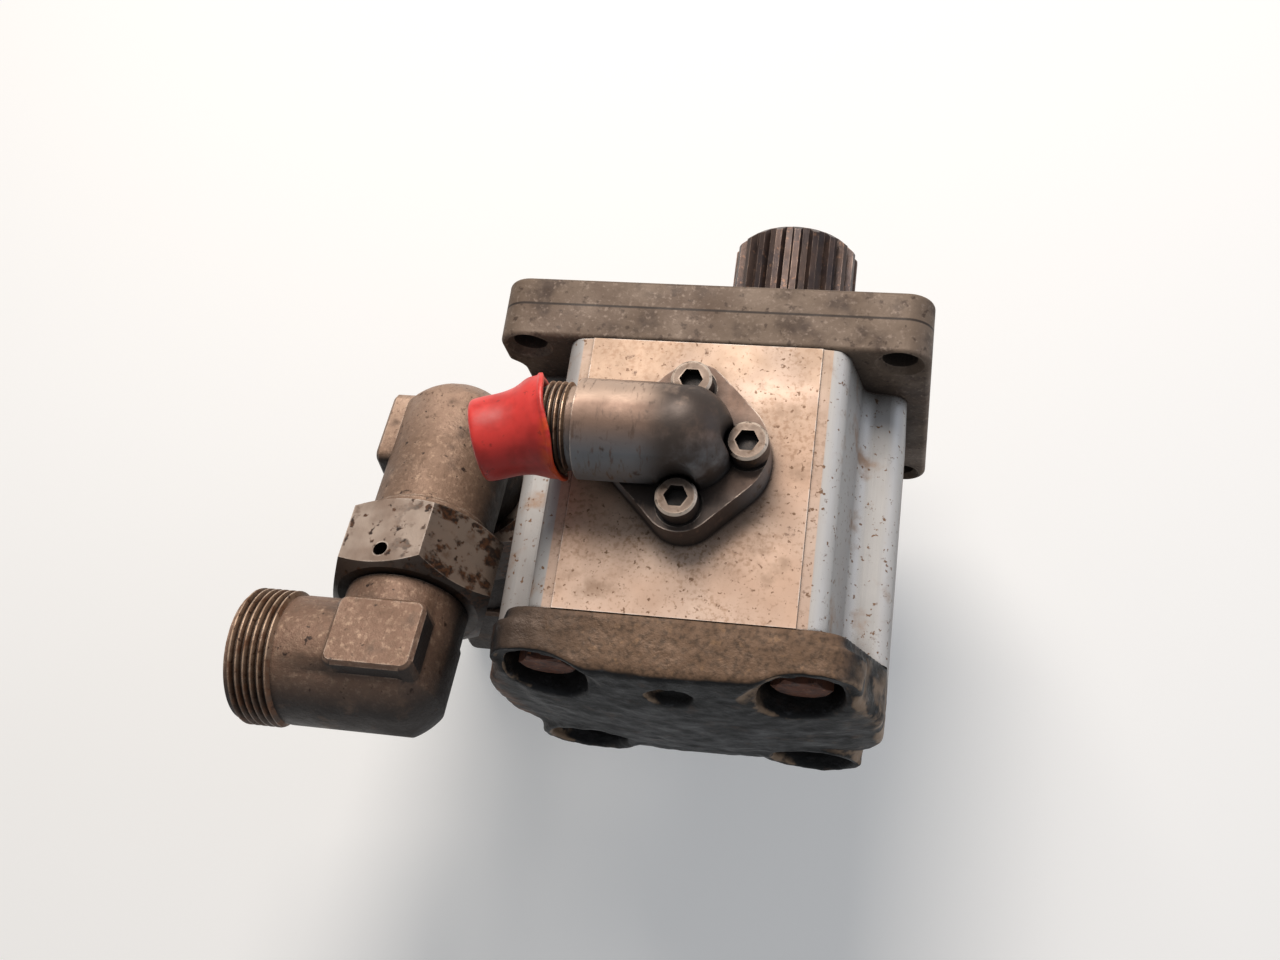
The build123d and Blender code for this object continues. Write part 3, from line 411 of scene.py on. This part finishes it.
def forged_colour(tree):
    # faces that look up get painted light; the dark base below them is painted shade
    above = facing(tree, (0, 0.45, 0.89), 0.05, 0.88)
    return layered(
        tree, "#332d2a",
        (above, lit_and_worn_top(tree)),
        (spots(tree, 7, 0.54, 0.76, shift=2, detail=6), "#665244"),
        (spots(tree, 1.6, 0.52, 0.70, shift=12, detail=6, roughness=0.7), above, "#735b49"),
        (spots(tree, 2.4, 0.64, 0.71, shift=8, detail=4), "#35241a"),
        # rubbed edges, bright on the upper side only: wear and painted highlight
        (worn_edges(tree, 0.8), above, "#cbb7a6"),
        # painted shade in the corners and creases, with some dirt
        (corner_shade_and_dirt(tree, 12), "#171311"),
        (corner_shade_and_dirt(tree, 1.2, clean=0.85, filled=0.55), "#14100e"),
    )


def forged_skin(tree):
    return [(noise(tree, 9.0, detail=2, shift=1), 0.30), (noise(tree, 1.8, detail=5, roughness=0.7), 0.32)]


forged_finish = finish("forged_zinc_plated_steel", forged_colour, metallic=0.40, roughness=(0.44, 0.66, 10),
                       bumps=forged_skin)
print("made", forged_finish.name)

# %% [markdown]
# The nuts carry the same plating, but their flats were machined, so they are smoother and paler,
# with deep orange-brown rust spots where the plating failed, most of them on the side toward the
# body. Their upper faces are painted lighter as lit and the rest dark as painted shade, their
# rubbed edges are bright on top only as a painted highlight, and their corners get painted shade.

# %% Machined and plated nuts, rust-spotted
nut_low, nut_high = box_mm("upper_swivel_nut")
line_x = (nut_low.x + nut_high.x) / 2


def nut_colour(tree):
    # faces that look up get painted light; the dark base elsewhere is painted shade
    above = facing(tree, (-0.2, 0.45, 0.87), 0.1, 0.9)
    rust = layered(tree, "#54351f", (spots(tree, 1.2, 0.4, 0.6), "#26180f"))
    toward_body = past(tree, X, line_x - 7.4, line_x + 10.6)
    return layered(
        tree, "#40362f",
        (above, "#aa998b"),
        (spots(tree, 14, 0.38, 0.64), above, "#8b7768"),
        (spots(tree, 5, 0.54, 0.72, shift=3, detail=6), "#655041"),
        (spots(tree, 3.8, 0.58, 0.65, shift=23, detail=3), rust),
        (spots(tree, 5.0, 0.50, 0.60, shift=21, detail=4), toward_body, rust),
        # rubbed edges, bright on the upper side only: wear and painted highlight
        (worn_edges(tree, 0.9), above, "#d6c8bb"),
        # painted shade in the corners, with some dirt
        (corner_shade_and_dirt(tree, 11), "#14100e"),
    )


def machined_skin(tree):
    return [(noise(tree, 7.0, detail=2, shift=1), 0.12), (noise(tree, 1.6, detail=5, roughness=0.65), 0.08)]


nut_finish = finish("machined_zinc_plated_steel", nut_colour, metallic=0.40, roughness=(0.38, 0.58, 8),
                    bumps=machined_skin)
print("made", nut_finish.name)

# %% [markdown]
# A thread is screwed on and off, so its crests are rubbed to bare bright steel while rust and old
# sealant stay down in its roots. The upper side of the crests is also painted lighter as a
# highlight, and the roots darker as painted shade.

# %% Cut threads, bright on their crests
def thread_colour(tree):
    # faces that look up get painted light
    above = facing(tree, (0, 0.45, 0.89), -0.05, 0.85)
    return layered(
        tree, "#5d4c41",
        (above, "#b39479"),
        (spots(tree, 4, 0.44, 0.66, shift=3, detail=5), "#7b573f"),
        (spots(tree, 1.4, 0.56, 0.70, shift=13, detail=5), "#4b3123"),
        # painted shade in the thread's roots, with rust
        (corner_shade_and_dirt(tree, 2.0, clean=0.75, filled=0.35), "#2a1c14"),
        # rubbed crests, bright on the upper side only: wear and painted highlight
        (worn_edges(tree, 0.35, size_mm=5.0), above, "#e3cdb6"),
    )


thread_finish = finish("cut_thread_steel", thread_colour, metallic=0.45, roughness=(0.34, 0.56, 3),
                       bumps=machined_skin)
print("made", thread_finish.name)

# %% [markdown]
# The pressure elbow is turned from steel bar. Fine rings from the lathe run round its pipe, so
# the highlight is drawn out along it. A real feed leaves a ring every tenth of a millimetre; they
# are drawn at 0.5 mm so that they show. A brown film covers the pipe, with a lighter painted
# highlight along its top and a grey painted reflection on the faces that look down and forward.
# The plate below and in front of the pipe gets a painted shadow and grime, and the heel that
# closes the bore is darker than the pipe.

# %% Turned steel with a brown film
def turned_colour(tree):
    on_heel = past(tree, X, pipe_end.x + 19.0, pipe_end.x + 28.0)
    heel_stains = overlap(tree, on_heel, spots(tree, 9, 0.22, 0.52, shift=41, detail=6))
    below_pipe = past(tree, Z, pipe_end.z - 2.8, pipe_end.z - 5.3)
    return layered(
        tree, "#806859",
        (spots(tree, 12, 0.38, 0.64, stretch=(0.5, 1, 1)), "#6e5648"),
        # painted reflection: grey on the faces that look down and forward
        (facing(tree, (0, -0.8, -0.6), -0.45, 0.35), "#7b7c7e"),
        # painted highlight along the top of the pipe
        (facing(tree, (0, 0.62, 0.78), 0.84, 0.98), "#bda491"),
        # painted shadow of the pipe, with some grime, on the plate below and in front of it
        (past(tree, Y, pipe_end.y - 6.0, pipe_end.y - 15.0), below_pipe, "#4b403a"),
        (spots(tree, 1.0, 0.54, 0.74, shift=14, detail=5, stretch=(1, 0.25, 0.25)), "#68554a"),
        (spots(tree, 3.5, 0.60, 0.76, shift=4, detail=6), "#4b3c33"),
        (heel_stains, past(tree, Z, pipe_end.z - 8.8, pipe_end.z - 2.8), "#463c36"),
        (worn_edges(tree, 0.6), "#cbbcae"),
        # painted shade in the corners and creases, with some dirt
        (corner_shade_and_dirt(tree, 8), "#1c1714"),
        (corner_shade_and_dirt(tree, 1.0, clean=0.85, filled=0.55), "#181311"),
    )


def lathe_rings(tree):
    rings = noise(tree, 0.5, detail=1, stretch=(1, 0.04, 0.04))
    return [(rings, 0.012), (noise(tree, 2.5, detail=4, shift=2), 0.08)]


turned_finish = finish("turned_steel", turned_colour, metallic=0.50, roughness=(0.42, 0.60, 6),
                       bumps=lathe_rings)
print("made", turned_finish.name)

# %% [markdown]
# Cap screws are blackened alloy steel. The chamfered rims of their heads rub bright on the key
# and the spanner and are painted brighter still as a highlight, while the sockets keep the black,
# fill with dirt and get painted shade. Their grit is finer than the eye can see, so it is drawn
# at 0.8 mm, just coarse enough to soften the shine.

# %% Blackened screws with bright rims
def screw_colour(tree):
    return layered(
        tree, "#372d29",
        # bright chamfered rims: wear and painted highlight
        (facing(tree, Z, 0.45, 0.60), "#d8c6b4"),
        (facing(tree, Z, 0.90, 0.99), "#766558"),
        (spots(tree, 2.0, 0.52, 0.68, detail=5), "#5b4838"),
        (worn_edges(tree, 0.8, size_mm=9.0), facing(tree, Z, 0.2, 0.5), "#cdbbaa"),
        # painted shade in the sockets, with dirt
        (corner_shade_and_dirt(tree, 5, clean=0.78, filled=0.50), "#120d0b"),
    )


def fine_grit(tree):
    return [(noise(tree, 0.8, detail=3), 0.03)]


screw_finish = finish("blackened_alloy_steel", screw_colour, metallic=0.40, roughness=(0.40, 0.58, 3),
                      bumps=fine_grit)
print("made", screw_finish.name)

# %% [markdown]
# The body bolts sit in wet pockets and have rusted through. The coupling is bare steel that has
# turned the same dark brown, kept from flaking by oil, which also gives it a soft shine.

# %% Rusted bolts and the oily coupling
def rust_colour(tree):
    return layered(
        tree, "#6f4533",
        (spots(tree, 3.0, 0.42, 0.66, detail=5), "#402820"),
        (spots(tree, 1.1, 0.60, 0.72, shift=5), "#a06a49"),
        # painted shade in the corners, with dirt
        (corner_shade_and_dirt(tree, 3, clean=0.6, filled=0.2), "#1c1310"),
    )


def coupling_colour(tree):
    return layered(
        tree, "#4b3b34",
        (spots(tree, 7, 0.40, 0.64), "#3d3230"),
        (spots(tree, 1.6, 0.58, 0.70, shift=4), "#6e5241"),
        (worn_edges(tree, 0.4), "#9d8678"),
        # painted shade in the spline roots, with dirt
        (corner_shade_and_dirt(tree, 3), "#140f0e"),
    )


def rust_flakes(tree):
    return [(noise(tree, 1.5, detail=6, roughness=0.7), 0.12)]


bolt_finish = finish("rusted_steel", rust_colour, metallic=0.1, roughness=(0.60, 0.85, 4), bumps=rust_flakes)
coupling_finish = finish("oily_bare_steel", coupling_colour, metallic=0.55, roughness=(0.32, 0.50, 5),
                         bumps=rust_flakes)
print("made", bolt_finish.name, "and", coupling_finish.name)

# %% [markdown]
# The cap is moulded polyethylene: red all the way through, more orange at its thin lip, where
# light comes through, and waxy rather than glossy. A little light spreads inside it, about a
# millimetre deep, which subsurface gives.

# %% Moulded red polyethylene
cap_mouth = box_mm("pressure_cap")[1].x


def cap_colour(tree):
    lip = past(tree, X, cap_mouth - 5.9, cap_mouth - 2.9)
    return layered(
        tree, "#e03f38",
        (spots(tree, 8, 0.42, 0.66), "#c22f28"),
        (lip, spots(tree, 6, 0.36, 0.54, shift=6), "#e8541f"),
        (spots(tree, 2.5, 0.64, 0.74, shift=4, detail=5), "#8c231d"),
        (worn_edges(tree, 0.8), "#e66a50"),
        # painted shade in the corners
        (corner_shade_and_dirt(tree, 5), "#4e100d"),
    )


def moulded_skin(tree):
    return [(noise(tree, 3.0, detail=2), 0.06)]


cap_finish = finish("moulded_polyethylene", cap_colour, metallic=0.0, roughness=(0.36, 0.50, 5),
                    bumps=moulded_skin,
                    shader_values={"Subsurface Weight": 0.15, "Subsurface Scale": 1.0 * MM})
print("made", cap_finish.name)

# %% [markdown]
# Inside are clean parts that only show on the shaft's end or through a port: ground gear steel,
# spring steel, bearing metal and black rubber. They still get two close tones and a grain each,
# because a pump in pieces shows them all.

# %% The clean parts inside
def clean_finish(name, first, second, size_mm, metallic, roughness):
    """A clean part's finish: two close tones in blotches, with painted shade in its corners."""
    def two_tones(tree):
        blotches = spots(tree, size_mm, 0.40, 0.62)
        # painted shade in the corners
        return layered(tree, first, (blotches, second), (corner_shade_and_dirt(tree, 4), "#1c1815"))

    return finish(name, two_tones, metallic, roughness, bumps=fine_grit)


ground_finish = clean_finish("ground_steel", "#a9a49e", "#86807a", 6, 0.85, (0.24, 0.36, 4))
spring_finish = clean_finish("spring_steel", "#8d8984", "#6c6259", 4, 0.8, (0.30, 0.42, 4))
plate_finish = clean_finish("bright_plated_steel", "#a4978a", "#7d6d5f", 5, 0.7, (0.30, 0.42, 4))
bearing_finish = clean_finish("bearing_aluminium", "#c4c1bc", "#aaa69f", 10, 0.8, (0.36, 0.50, 6))
bronze_finish = clean_finish("bearing_bronze", "#a9845a", "#8a6a48", 5, 0.8, (0.32, 0.46, 5))
rubber_finish = clean_finish("nitrile_rubber", "#1d1d1e", "#2b2a29", 4, 0.0, (0.55, 0.70, 4))
print("made", [f.name for f in (ground_finish, spring_finish, plate_finish)],
      [f.name for f in (bearing_finish, bronze_finish, rubber_finish)])

# %% [markdown]
# Each part names its material slot in the drawing. Painting by slot, not by part, means that the
# three elbows or the four bolts can never drift apart.

# %% Paint by slot
finishes = {
    "cast_aluminium": flange_finish,
    "extruded_aluminium": housing_finish,
    "cast_cover": cover_finish,
    "gear_steel": ground_finish,
    "bearing_aluminium": bearing_finish,
    "bearing_bronze": bronze_finish,
    "seal_rubber": rubber_finish,
    "spring_steel": spring_finish,
    "oily_steel": coupling_finish,
    "fastener_steel": plate_finish,
    "rusty_bolt_steel": bolt_finish,
    "plated_elbow_steel": turned_finish,
    "black_screw_steel": screw_finish,
    "red_plastic": cap_finish,
    "forged_elbow_steel": forged_finish,
    "plated_nut_steel": nut_finish,
}
slot_of = {entry["node"]: entry["material_slot"] for entry in frame["record"]["subparts"]}


def paint(obj, material):
    """obj wears one material all over."""
    obj.data.materials.clear()
    obj.data.materials.append(material)


for name, obj in nodes.items():
    paint(obj, finishes[slot_of[name]])
print("painted", len(nodes), "nodes with", len(finishes), "finishes")

# %% [markdown]
# Some drawn parts are too plain, so a reshaped copy stands for them. The copy is merged first,
# because the drawing's mesh comes as loose triangles. The helpers here make an object, open its
# mesh for bmesh operators and write it back, and tie a new piece to the drawn part it belongs
# to: the same body to move with.

# %% New pieces and how they belong
def new_object(name, data):
    """An object in the scene, holding a mesh, a lamp or a camera."""
    obj = bpy.data.objects.new(name, data)
    bpy.context.scene.collection.objects.link(obj)
    return obj


@contextmanager
def reshaping(mesh):
    """The mesh as a bmesh, written back when the block ends."""
    work = bmesh.new()
    work.from_mesh(mesh)
    yield work
    work.to_mesh(mesh)
    work.free()


def merged_copy(node, name):
    """A copy of a drawn part with its doubled corners merged, ready to be reshaped."""
    obj = new_object(name, nodes[node].data.copy())
    with reshaping(obj.data) as work:
        bmesh.ops.remove_doubles(work, verts=work.verts, dist=0.002 * MM)
    return obj


def belong(piece, node, material):
    """The piece wears its material, and takes the drawn part's body."""
    bodies = frame["record"]["behaviour"]["bodies"]
    paint(piece, material)
    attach(piece, next(body for body, members in bodies.items() if node in members))


# %% [markdown]
# A drawing shows a thread as a plain cylinder. The real one is a 60 degree groove that winds
# along the leg, and its bright crests and dirty roots are what the eye reads as a thread. So a
# copy of the elbow is turned down to the thread's core, and one tooth of the thread is wound up
# the leg by a spin. A thread's own frame has the end of its leg at the origin and +Z out of it.

# %% Turn a leg down to its core
def thread_frame(end_mm, direction):
    """The turn and place of a thread's own frame on the pump."""
    turn = Vector(direction).to_track_quat("Z", "Y").to_matrix().to_4x4()
    return Matrix.Translation(Vector(end_mm) * MM) @ turn


def turn_down(obj, place, core, length):
    """Pull the plain cylinder of a thread in to the thread's core; the rest stays."""
    into = place.inverted()
    slack = 0.02 * MM
    with reshaping(obj.data) as work:
        for vert in work.verts:
            local = into @ vert.co
            radius = math.hypot(local.x, local.y)
            if radius > core * MM and -length * MM - slack < local.z < slack:
                local.x *= core * MM / radius
                local.y *= core * MM / radius
                vert.co = place @ local


print("a leg along -X turns +Z to", [round(part) for part in thread_frame((0, 0, 0), (-1, 0, 0)) @ Vector(Z)])

# %% [markdown]
# The tooth's section has four corners: two at the root, sunk a little into the leg, and two on a
# narrow crest. A spin with a step along the axis is the same move as a lathe's tool, one pitch
# forward for every turn. Where the leg ends in a chamfer, the crests are trimmed to its cone.

# %% Wind the thread
SPIN_STEPS = 56
ROOT_SUNK = 0.1


def wound_thread(name, place, radius, core, length, pitch, chamfer):
    """A thread wound along a leg, its crests trimmed to the chamfer at the leg's end."""
    half_root = pitch * 0.46
    half_crest = pitch * 0.09
    foot = core - ROOT_SUNK
    section = [(foot, -half_root), (radius, -half_crest), (radius, half_crest), (foot, half_root)]
    turns = (length - pitch) / pitch
    mesh = bpy.data.meshes.new(name)
    with reshaping(mesh) as work:
        corners = [work.verts.new((r * MM, 0, (z - length + pitch / 2) * MM)) for r, z in section]
        bmesh.ops.spin(work, geom=[work.faces.new(corners)], cent=(0, 0, 0), axis=Z,
                       dvec=(0, 0, pitch * MM / SPIN_STEPS), angle=2 * math.pi * turns,
                       steps=round(SPIN_STEPS * turns), use_merge=False)
        for vert in work.verts:
            limit = (radius - chamfer) * MM - vert.co.z
            distance = math.hypot(vert.co.x, vert.co.y)
            if distance > limit:
                vert.co.x *= limit / distance
                vert.co.y *= limit / distance
        bmesh.ops.recalc_face_normals(work, faces=work.faces)
        bmesh.ops.transform(work, matrix=place, verts=work.verts)
    return new_object(name, mesh)


def cut_thread(node, mount_name, core, length, pitch, chamfer):
    """Replace a drawn part by its turned-down copy and a wound thread; its leg points along -X."""
    mount = mounts[mount_name]
    radius = mount["dims"]["r_mm"]
    leg_end = Vector(mount["pos_m"]) / MM
    leg_end.x = box_mm(node)[0].x
    place = thread_frame(leg_end, mount["axis"])
    blank = merged_copy(node, node + "_blank")
    turn_down(blank, place, core, length)
    belong(blank, node, finishes[slot_of[node]])
    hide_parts(node)
    thread = wound_thread(node + "_thread", place, radius, core, length, pitch, chamfer)
    belong(thread, node, thread_finish)
    print(node, "thread faces:", len(thread.data.polygons))


# %% [markdown]
# Two threads are open to view. The suction line ends in M36 x 2, bare, with rust in its roots.
# The pressure stub is M22 x 1.5, half under the cap. Their axes and radii are those of the
# drawing's mounts, and a leg along -X ends at the drawn part's lowest X.

# %% The two open threads
cut_thread("outlet_swivel_elbow", "suction_inlet", core=16.8, length=13.2, pitch=2.0, chamfer=1.2)
cut_thread("pressure_elbow", "pressure_outlet", core=10.1, length=7.4, pitch=1.5, chamfer=1.2)

# %% [markdown]
# The drawing gives the rear cover its machined sizes only. The casting itself is softer and more
# crooked: a round boss stands proud of the crowned back at each bolt, because the bolt's head
# needs a flat seat, and sand moulds leave every surface a little lumpy. So the copy gets a spun
# collar round each pocket. A collar starts deep in the metal, and the upper two end further from
# the cover's back, because the back slopes away above them. They stay under the cover's top.

# %% Collars round the bolt pockets
WASHER_RADIUS = 8.0
POCKET_RADIUS = 10.5
COLLAR_FOOT = 15.0
OUTER_DRAFT = 0.6
INNER_DRAFT = 0.5


def collar(work, centre, outer, end):
    """A ring round a bolt pocket, its tapered section spun once; foot and end are from the back."""
    x, z = centre
    foot_y = cover_low.y + COLLAR_FOOT
    end_y = cover_low.y + end
    section = [(POCKET_RADIUS, foot_y), (outer + OUTER_DRAFT, foot_y),
               (outer, end_y), (POCKET_RADIUS + INNER_DRAFT, end_y)]
    corners = [work.verts.new(((x + r) * MM, y * MM, z * MM)) for r, y in section]
    edges = [work.edges.new(pair) for pair in zip(corners, corners[1:] + corners[:1])]
    bmesh.ops.spin(work, geom=corners + edges, cent=(x * MM, 0, z * MM), axis=Y,
                   angle=2 * math.pi, steps=48, use_merge=True)


washers_low, washers_high = box_mm("body_bolt_washers")
bolt_centres = [(x, z) for x in (washers_low.x + WASHER_RADIUS, washers_high.x - WASHER_RADIUS)
                for z in (washers_low.z + WASHER_RADIUS, washers_high.z - WASHER_RADIUS)]
casting = merged_copy("rear_cover", "rear_cover_casting")
with reshaping(casting.data) as work:
    for centre in bolt_centres:
        if centre[1] > 0:
            collar(work, centre, outer=14.4, end=6.5)
        else:
            collar(work, centre, outer=13.4, end=1.8)
    for vert in work.verts:
        vert.co.z = min(vert.co.z, cover_high.z * MM)
    bmesh.ops.recalc_face_normals(work, faces=work.faces)
print("collars round", [(round(x, 1), round(z, 1)) for x, z in bolt_centres])

# %% [markdown]
# The collars overlap the copy, so a voxel remesh joins them in one closed skin of small even
# faces. Such a skin can be worked like clay: corners soften by smoothing, and any formula in
# space can push it in or out.

# %% From overlapping pieces to one soft skin
def ease(value):
    """0 to 1, with a soft start and a soft end."""
    value = max(0.0, min(1.0, value))
    return value * value * (3 - 2 * value)


def one_skin(obj, grain_mm):
    """Join all that overlaps in a piece into one closed skin of even faces."""
    skin = obj.modifiers.new("one_skin", "REMESH")
    skin.mode = "VOXEL"
    skin.voxel_size = grain_mm * MM
    obj.data = bpy.data.meshes.new_from_object(obj.evaluated_get(bpy.context.evaluated_depsgraph_get()))
    obj.modifiers.clear()


def soften(work, verts, rounds):
    """Smooth some corners, in every direction."""
    for _ in range(rounds):
        bmesh.ops.smooth_vert(work, verts=verts, factor=0.5,
                              use_axis_x=True, use_axis_y=True, use_axis_z=True)
    work.normal_update()


def stand_in(piece, node):
    """Let a reshaped copy stand for its drawn part."""
    piece.data.shade_smooth()
    belong(piece, node, finishes[slot_of[node]])
    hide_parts(node)
    print(piece.name, "faces:", len(piece.data.polygons))


one_skin(casting, 0.75)
print("cover skin faces:", len(casting.data.polygons))

# %% [markdown]
# Above each upper pocket the mould is cut back in a scoop, to let a socket reach the bolt's head.
# The sand's unevenness is a slow lump of 10 mm and a quicker one of 3 mm, a few tenths high. The
# scoops fade out half way to the body, and the lumps just before the sealing face, which was
# milled flat.

# %% Scoops and lumps on the cast cover
SCOOP_DEPTH = 2.4
SCOOP_RADIUS = 11.0
SCOOP_EDGE = 4.5
LUMPS = ((0.40, 10.0), (0.22, 3.2))


def scoop(point):
    """How far a point above an upper pocket is cut back toward the body, in millimetres."""
    x, y, z = point / MM
    share = 0.0
    for centre_x, centre_z in bolt_centres:
        if centre_z > 0:
            near = 1 - ease((math.hypot(x - centre_x, z - centre_z) - SCOOP_RADIUS) / SCOOP_EDGE)
            above = ease((z - centre_z + 3.0) / 9.0)
            share = max(share, near * above)
    at_back = ease((cover_low.y + 12.0 - y) / 8.0)
    return SCOOP_DEPTH * share * at_back


def lump(point):
    """How far the mould's unevenness pushes a point out, in millimetres."""
    return sum(height * space_noise.noise(point / (width * MM)) for height, width in LUMPS)


sealing_y = (cover_high.y - 0.8) * MM
with reshaping(casting.data) as work:
    free = [vert for vert in work.verts if vert.co.y < sealing_y]
    soften(work, free, 3)
    for vert in free:
        away = ease((sealing_y - vert.co.y) / (4 * MM))
        push = vert.normal * lump(vert.co) * away * MM
        cut_back = Vector((0, scoop(vert.co) * MM, 0))
        vert.co += push + cut_back
stand_in(casting, "rear_cover")

# %% [markdown]
# The cap is soft and has been pushed on and pulled off many times. Its middle is drawn in, its
# mouth flares like a bell, and the lip has gone wavy where it was pinched. It is reshaped round
# its own axis, which leans a little from the pipe's. Three shares steer each point: how much it
# belongs to the waist, how much to the lip, and how far round it is from the side where the
# leaning cap bears on the thread, because there the lip keeps its drawn radius.

# %% The cap's own axis, and how it is pinched
CAP_LEAN = math.radians(17)
WAIST_IN = 0.07
LIP_IN = 0.045
cap_axis = Vector((-math.cos(CAP_LEAN), -math.sin(CAP_LEAN), 0))
cap_side = cap_axis.cross(Vector(Z))
cap_turn = Matrix((cap_side, Z, cap_axis))


def pinched(side, up, depth):
    """Where a point of the cap goes: side and up from its axis, depth from its mouth, in mm."""
    angle = math.atan2(up, side)
    waist = ease((depth - 3.8) / 5.0) * (1 - ease((depth - 10.0) / 8.0))
    lip = 1 - ease(depth / 5.5)
    loose = 0.5 + 0.5 * math.cos(angle)
    scale = 1 - WAIST_IN * waist - LIP_IN * lip * loose * (1 + math.sin(3 * angle + 0.6))
    wave = 0.7 + 0.5 * math.sin(2 * angle + 2.2) + 0.3 * math.sin(5 * angle)
    return side * scale, up * scale, depth + lip * wave


print("the cap leans", round(math.degrees(CAP_LEAN)), "degrees")

# %% The cap with a pinched lip
cap = merged_copy("pressure_cap", "pressure_cap_pinched")
one_skin(cap, 0.32)
with reshaping(cap.data) as work:
    soften(work, work.verts, 2)
    places = [cap_turn @ vert.co for vert in work.verts]
    lows = [min(place[i] for place in places) for i in range(3)]
    highs = [max(place[i] for place in places) for i in range(3)]
    mouth = Vector(((lows[0] + highs[0]) / 2, (lows[1] + highs[1]) / 2, lows[2]))
    for vert, place in zip(work.verts, places):
        moved = Vector(pinched(*((place - mouth) / MM)))
        vert.co = cap_turn.transposed() @ (moved * MM + mouth)
stand_in(cap, "pressure_cap")

# %% [markdown]
# The camera stands above the rear of the pump and looks down its top face, as a mechanic would
# who has just laid it on the bench. A 40 mm lens from about 40 cm keeps the near elbow large.

# %% Camera
camera_data = bpy.data.cameras.new("bench_camera")
camera_data.sensor_width = 36
camera_data.lens = 40.36
camera_data.clip_start = 0.01
camera_data.clip_end = 20
right = (0.9786, 0.1334, -0.1564)
up = (-0.0664, 0.9251, 0.3738)
back = (0.1946, -0.3554, 0.9142)
stand = (0.0407, -0.1807, 0.3640)
camera = new_object("bench_camera", camera_data)
camera.matrix_world = Matrix.Translation(stand) @ Matrix((right, up, back)).transposed().to_4x4()
bpy.context.scene.camera = camera
print("lens", round(camera_data.lens, 1), "mm")

# %% [markdown]
# The floor is a plain pale sheet just under the lowest nut. A pale floor would light the part
# from below, so only the rays that show it to the camera, straight, in a reflection or through
# glass, see it pale; the light that bounces off it is dimmer.

# %% Pale floor
FLOOR_GAP = 1.0 * MM


def seen_directly(tree):
    """1 for rays that show a surface: from the camera, in a reflection or through glass."""
    path = add(tree, "LightPath")
    shown = path.outputs["Is Camera Ray"]
    for ray in ("Is Glossy Ray", "Is Transmission Ray"):
        either = add(tree, "Math", {0: shown, 1: path.outputs[ray]}, operation="ADD", use_clamp=True)
        shown = either.outputs[0]
    return shown


def floor_paint():
    """A pale sheet to look at, and a grey one for the light that it throws back."""
    material = bpy.data.materials.new("pale_floor")
    material.use_nodes = True
    tree = material.node_tree
    dim = add(tree, "BsdfDiffuse", {"Color": "#696b6e"})
    pale = add(tree, "BsdfDiffuse", {"Color": "#dfdfdd"})
    glow = add(tree, "Emission", {"Color": "#f3f4f5", "Strength": 0.32})
    bright = add(tree, "AddShader", {0: pale.outputs[0], 1: glow.outputs[0]})
    mixed = add(tree, "MixShader", {0: seen_directly(tree), 1: dim.outputs[0], 2: bright.outputs[0]})
    set_inputs(tree, tree.nodes["Material Output"], {"Surface": mixed.outputs[0]})
    return material


floor_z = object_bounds()[0].z - FLOOR_GAP
floor = new_object("floor", bpy.data.meshes.new("floor"))
with reshaping(floor.data) as work:
    bmesh.ops.create_grid(work, x_segments=1, y_segments=1, size=4.0)
    bmesh.ops.translate(work, verts=work.verts, vec=(0, 0, floor_z))
paint(floor, floor_paint())
print("floor at", round(floor_z, 4))

# %% [markdown]
# A large soft lamp behind the flange draws long highlights on the pipes and lets their near
# sides go dark, and a weaker, cooler one from the right keeps the far flank readable. The world
# adds a little light from all round, and is paler where it is seen directly.

# %% Lamps and world
def soft_lamp(name, place, aim, size, watts, colour):
    """A square area lamp at a place, turned to its aim."""
    data = bpy.data.lights.new(name, "AREA")
    data.shape = "SQUARE"
    data.size = size
    data.energy = watts
    data.color = linear(colour)[:3]
    lamp = new_object(name, data)
    lamp.location = place
    lamp.rotation_euler = (Vector(aim) - Vector(place)).to_track_quat("-Z", "Y").to_euler()


soft_lamp("key_lamp", (-0.14, 0.49, 0.76), aim=(-0.03, -0.05, 0), size=0.50, watts=9.0, colour="#fff6ee")
soft_lamp("fill_lamp", (0.85, 0.22, 0.40), aim=(0, -0.05, 0), size=0.50, watts=1.4, colour="#dfeaff")

world = bpy.data.worlds.new("studio")
world.use_nodes = True
bpy.context.scene.world = world
strength = add(world.node_tree, "MapRange", {
    "Value": seen_directly(world.node_tree), "To Min": 0.17, "To Max": 0.50,
})
set_inputs(world.node_tree, world.node_tree.nodes["Background"], {
    "Color": "#eef2f8", "Strength": strength.outputs["Result"],
})

# %% [markdown]
# Exposure stays at its default and the view is Standard, so a colour on the object comes out
# about as it was picked.

# %% Colour management
bpy.context.scene.view_settings.view_transform = "Standard"
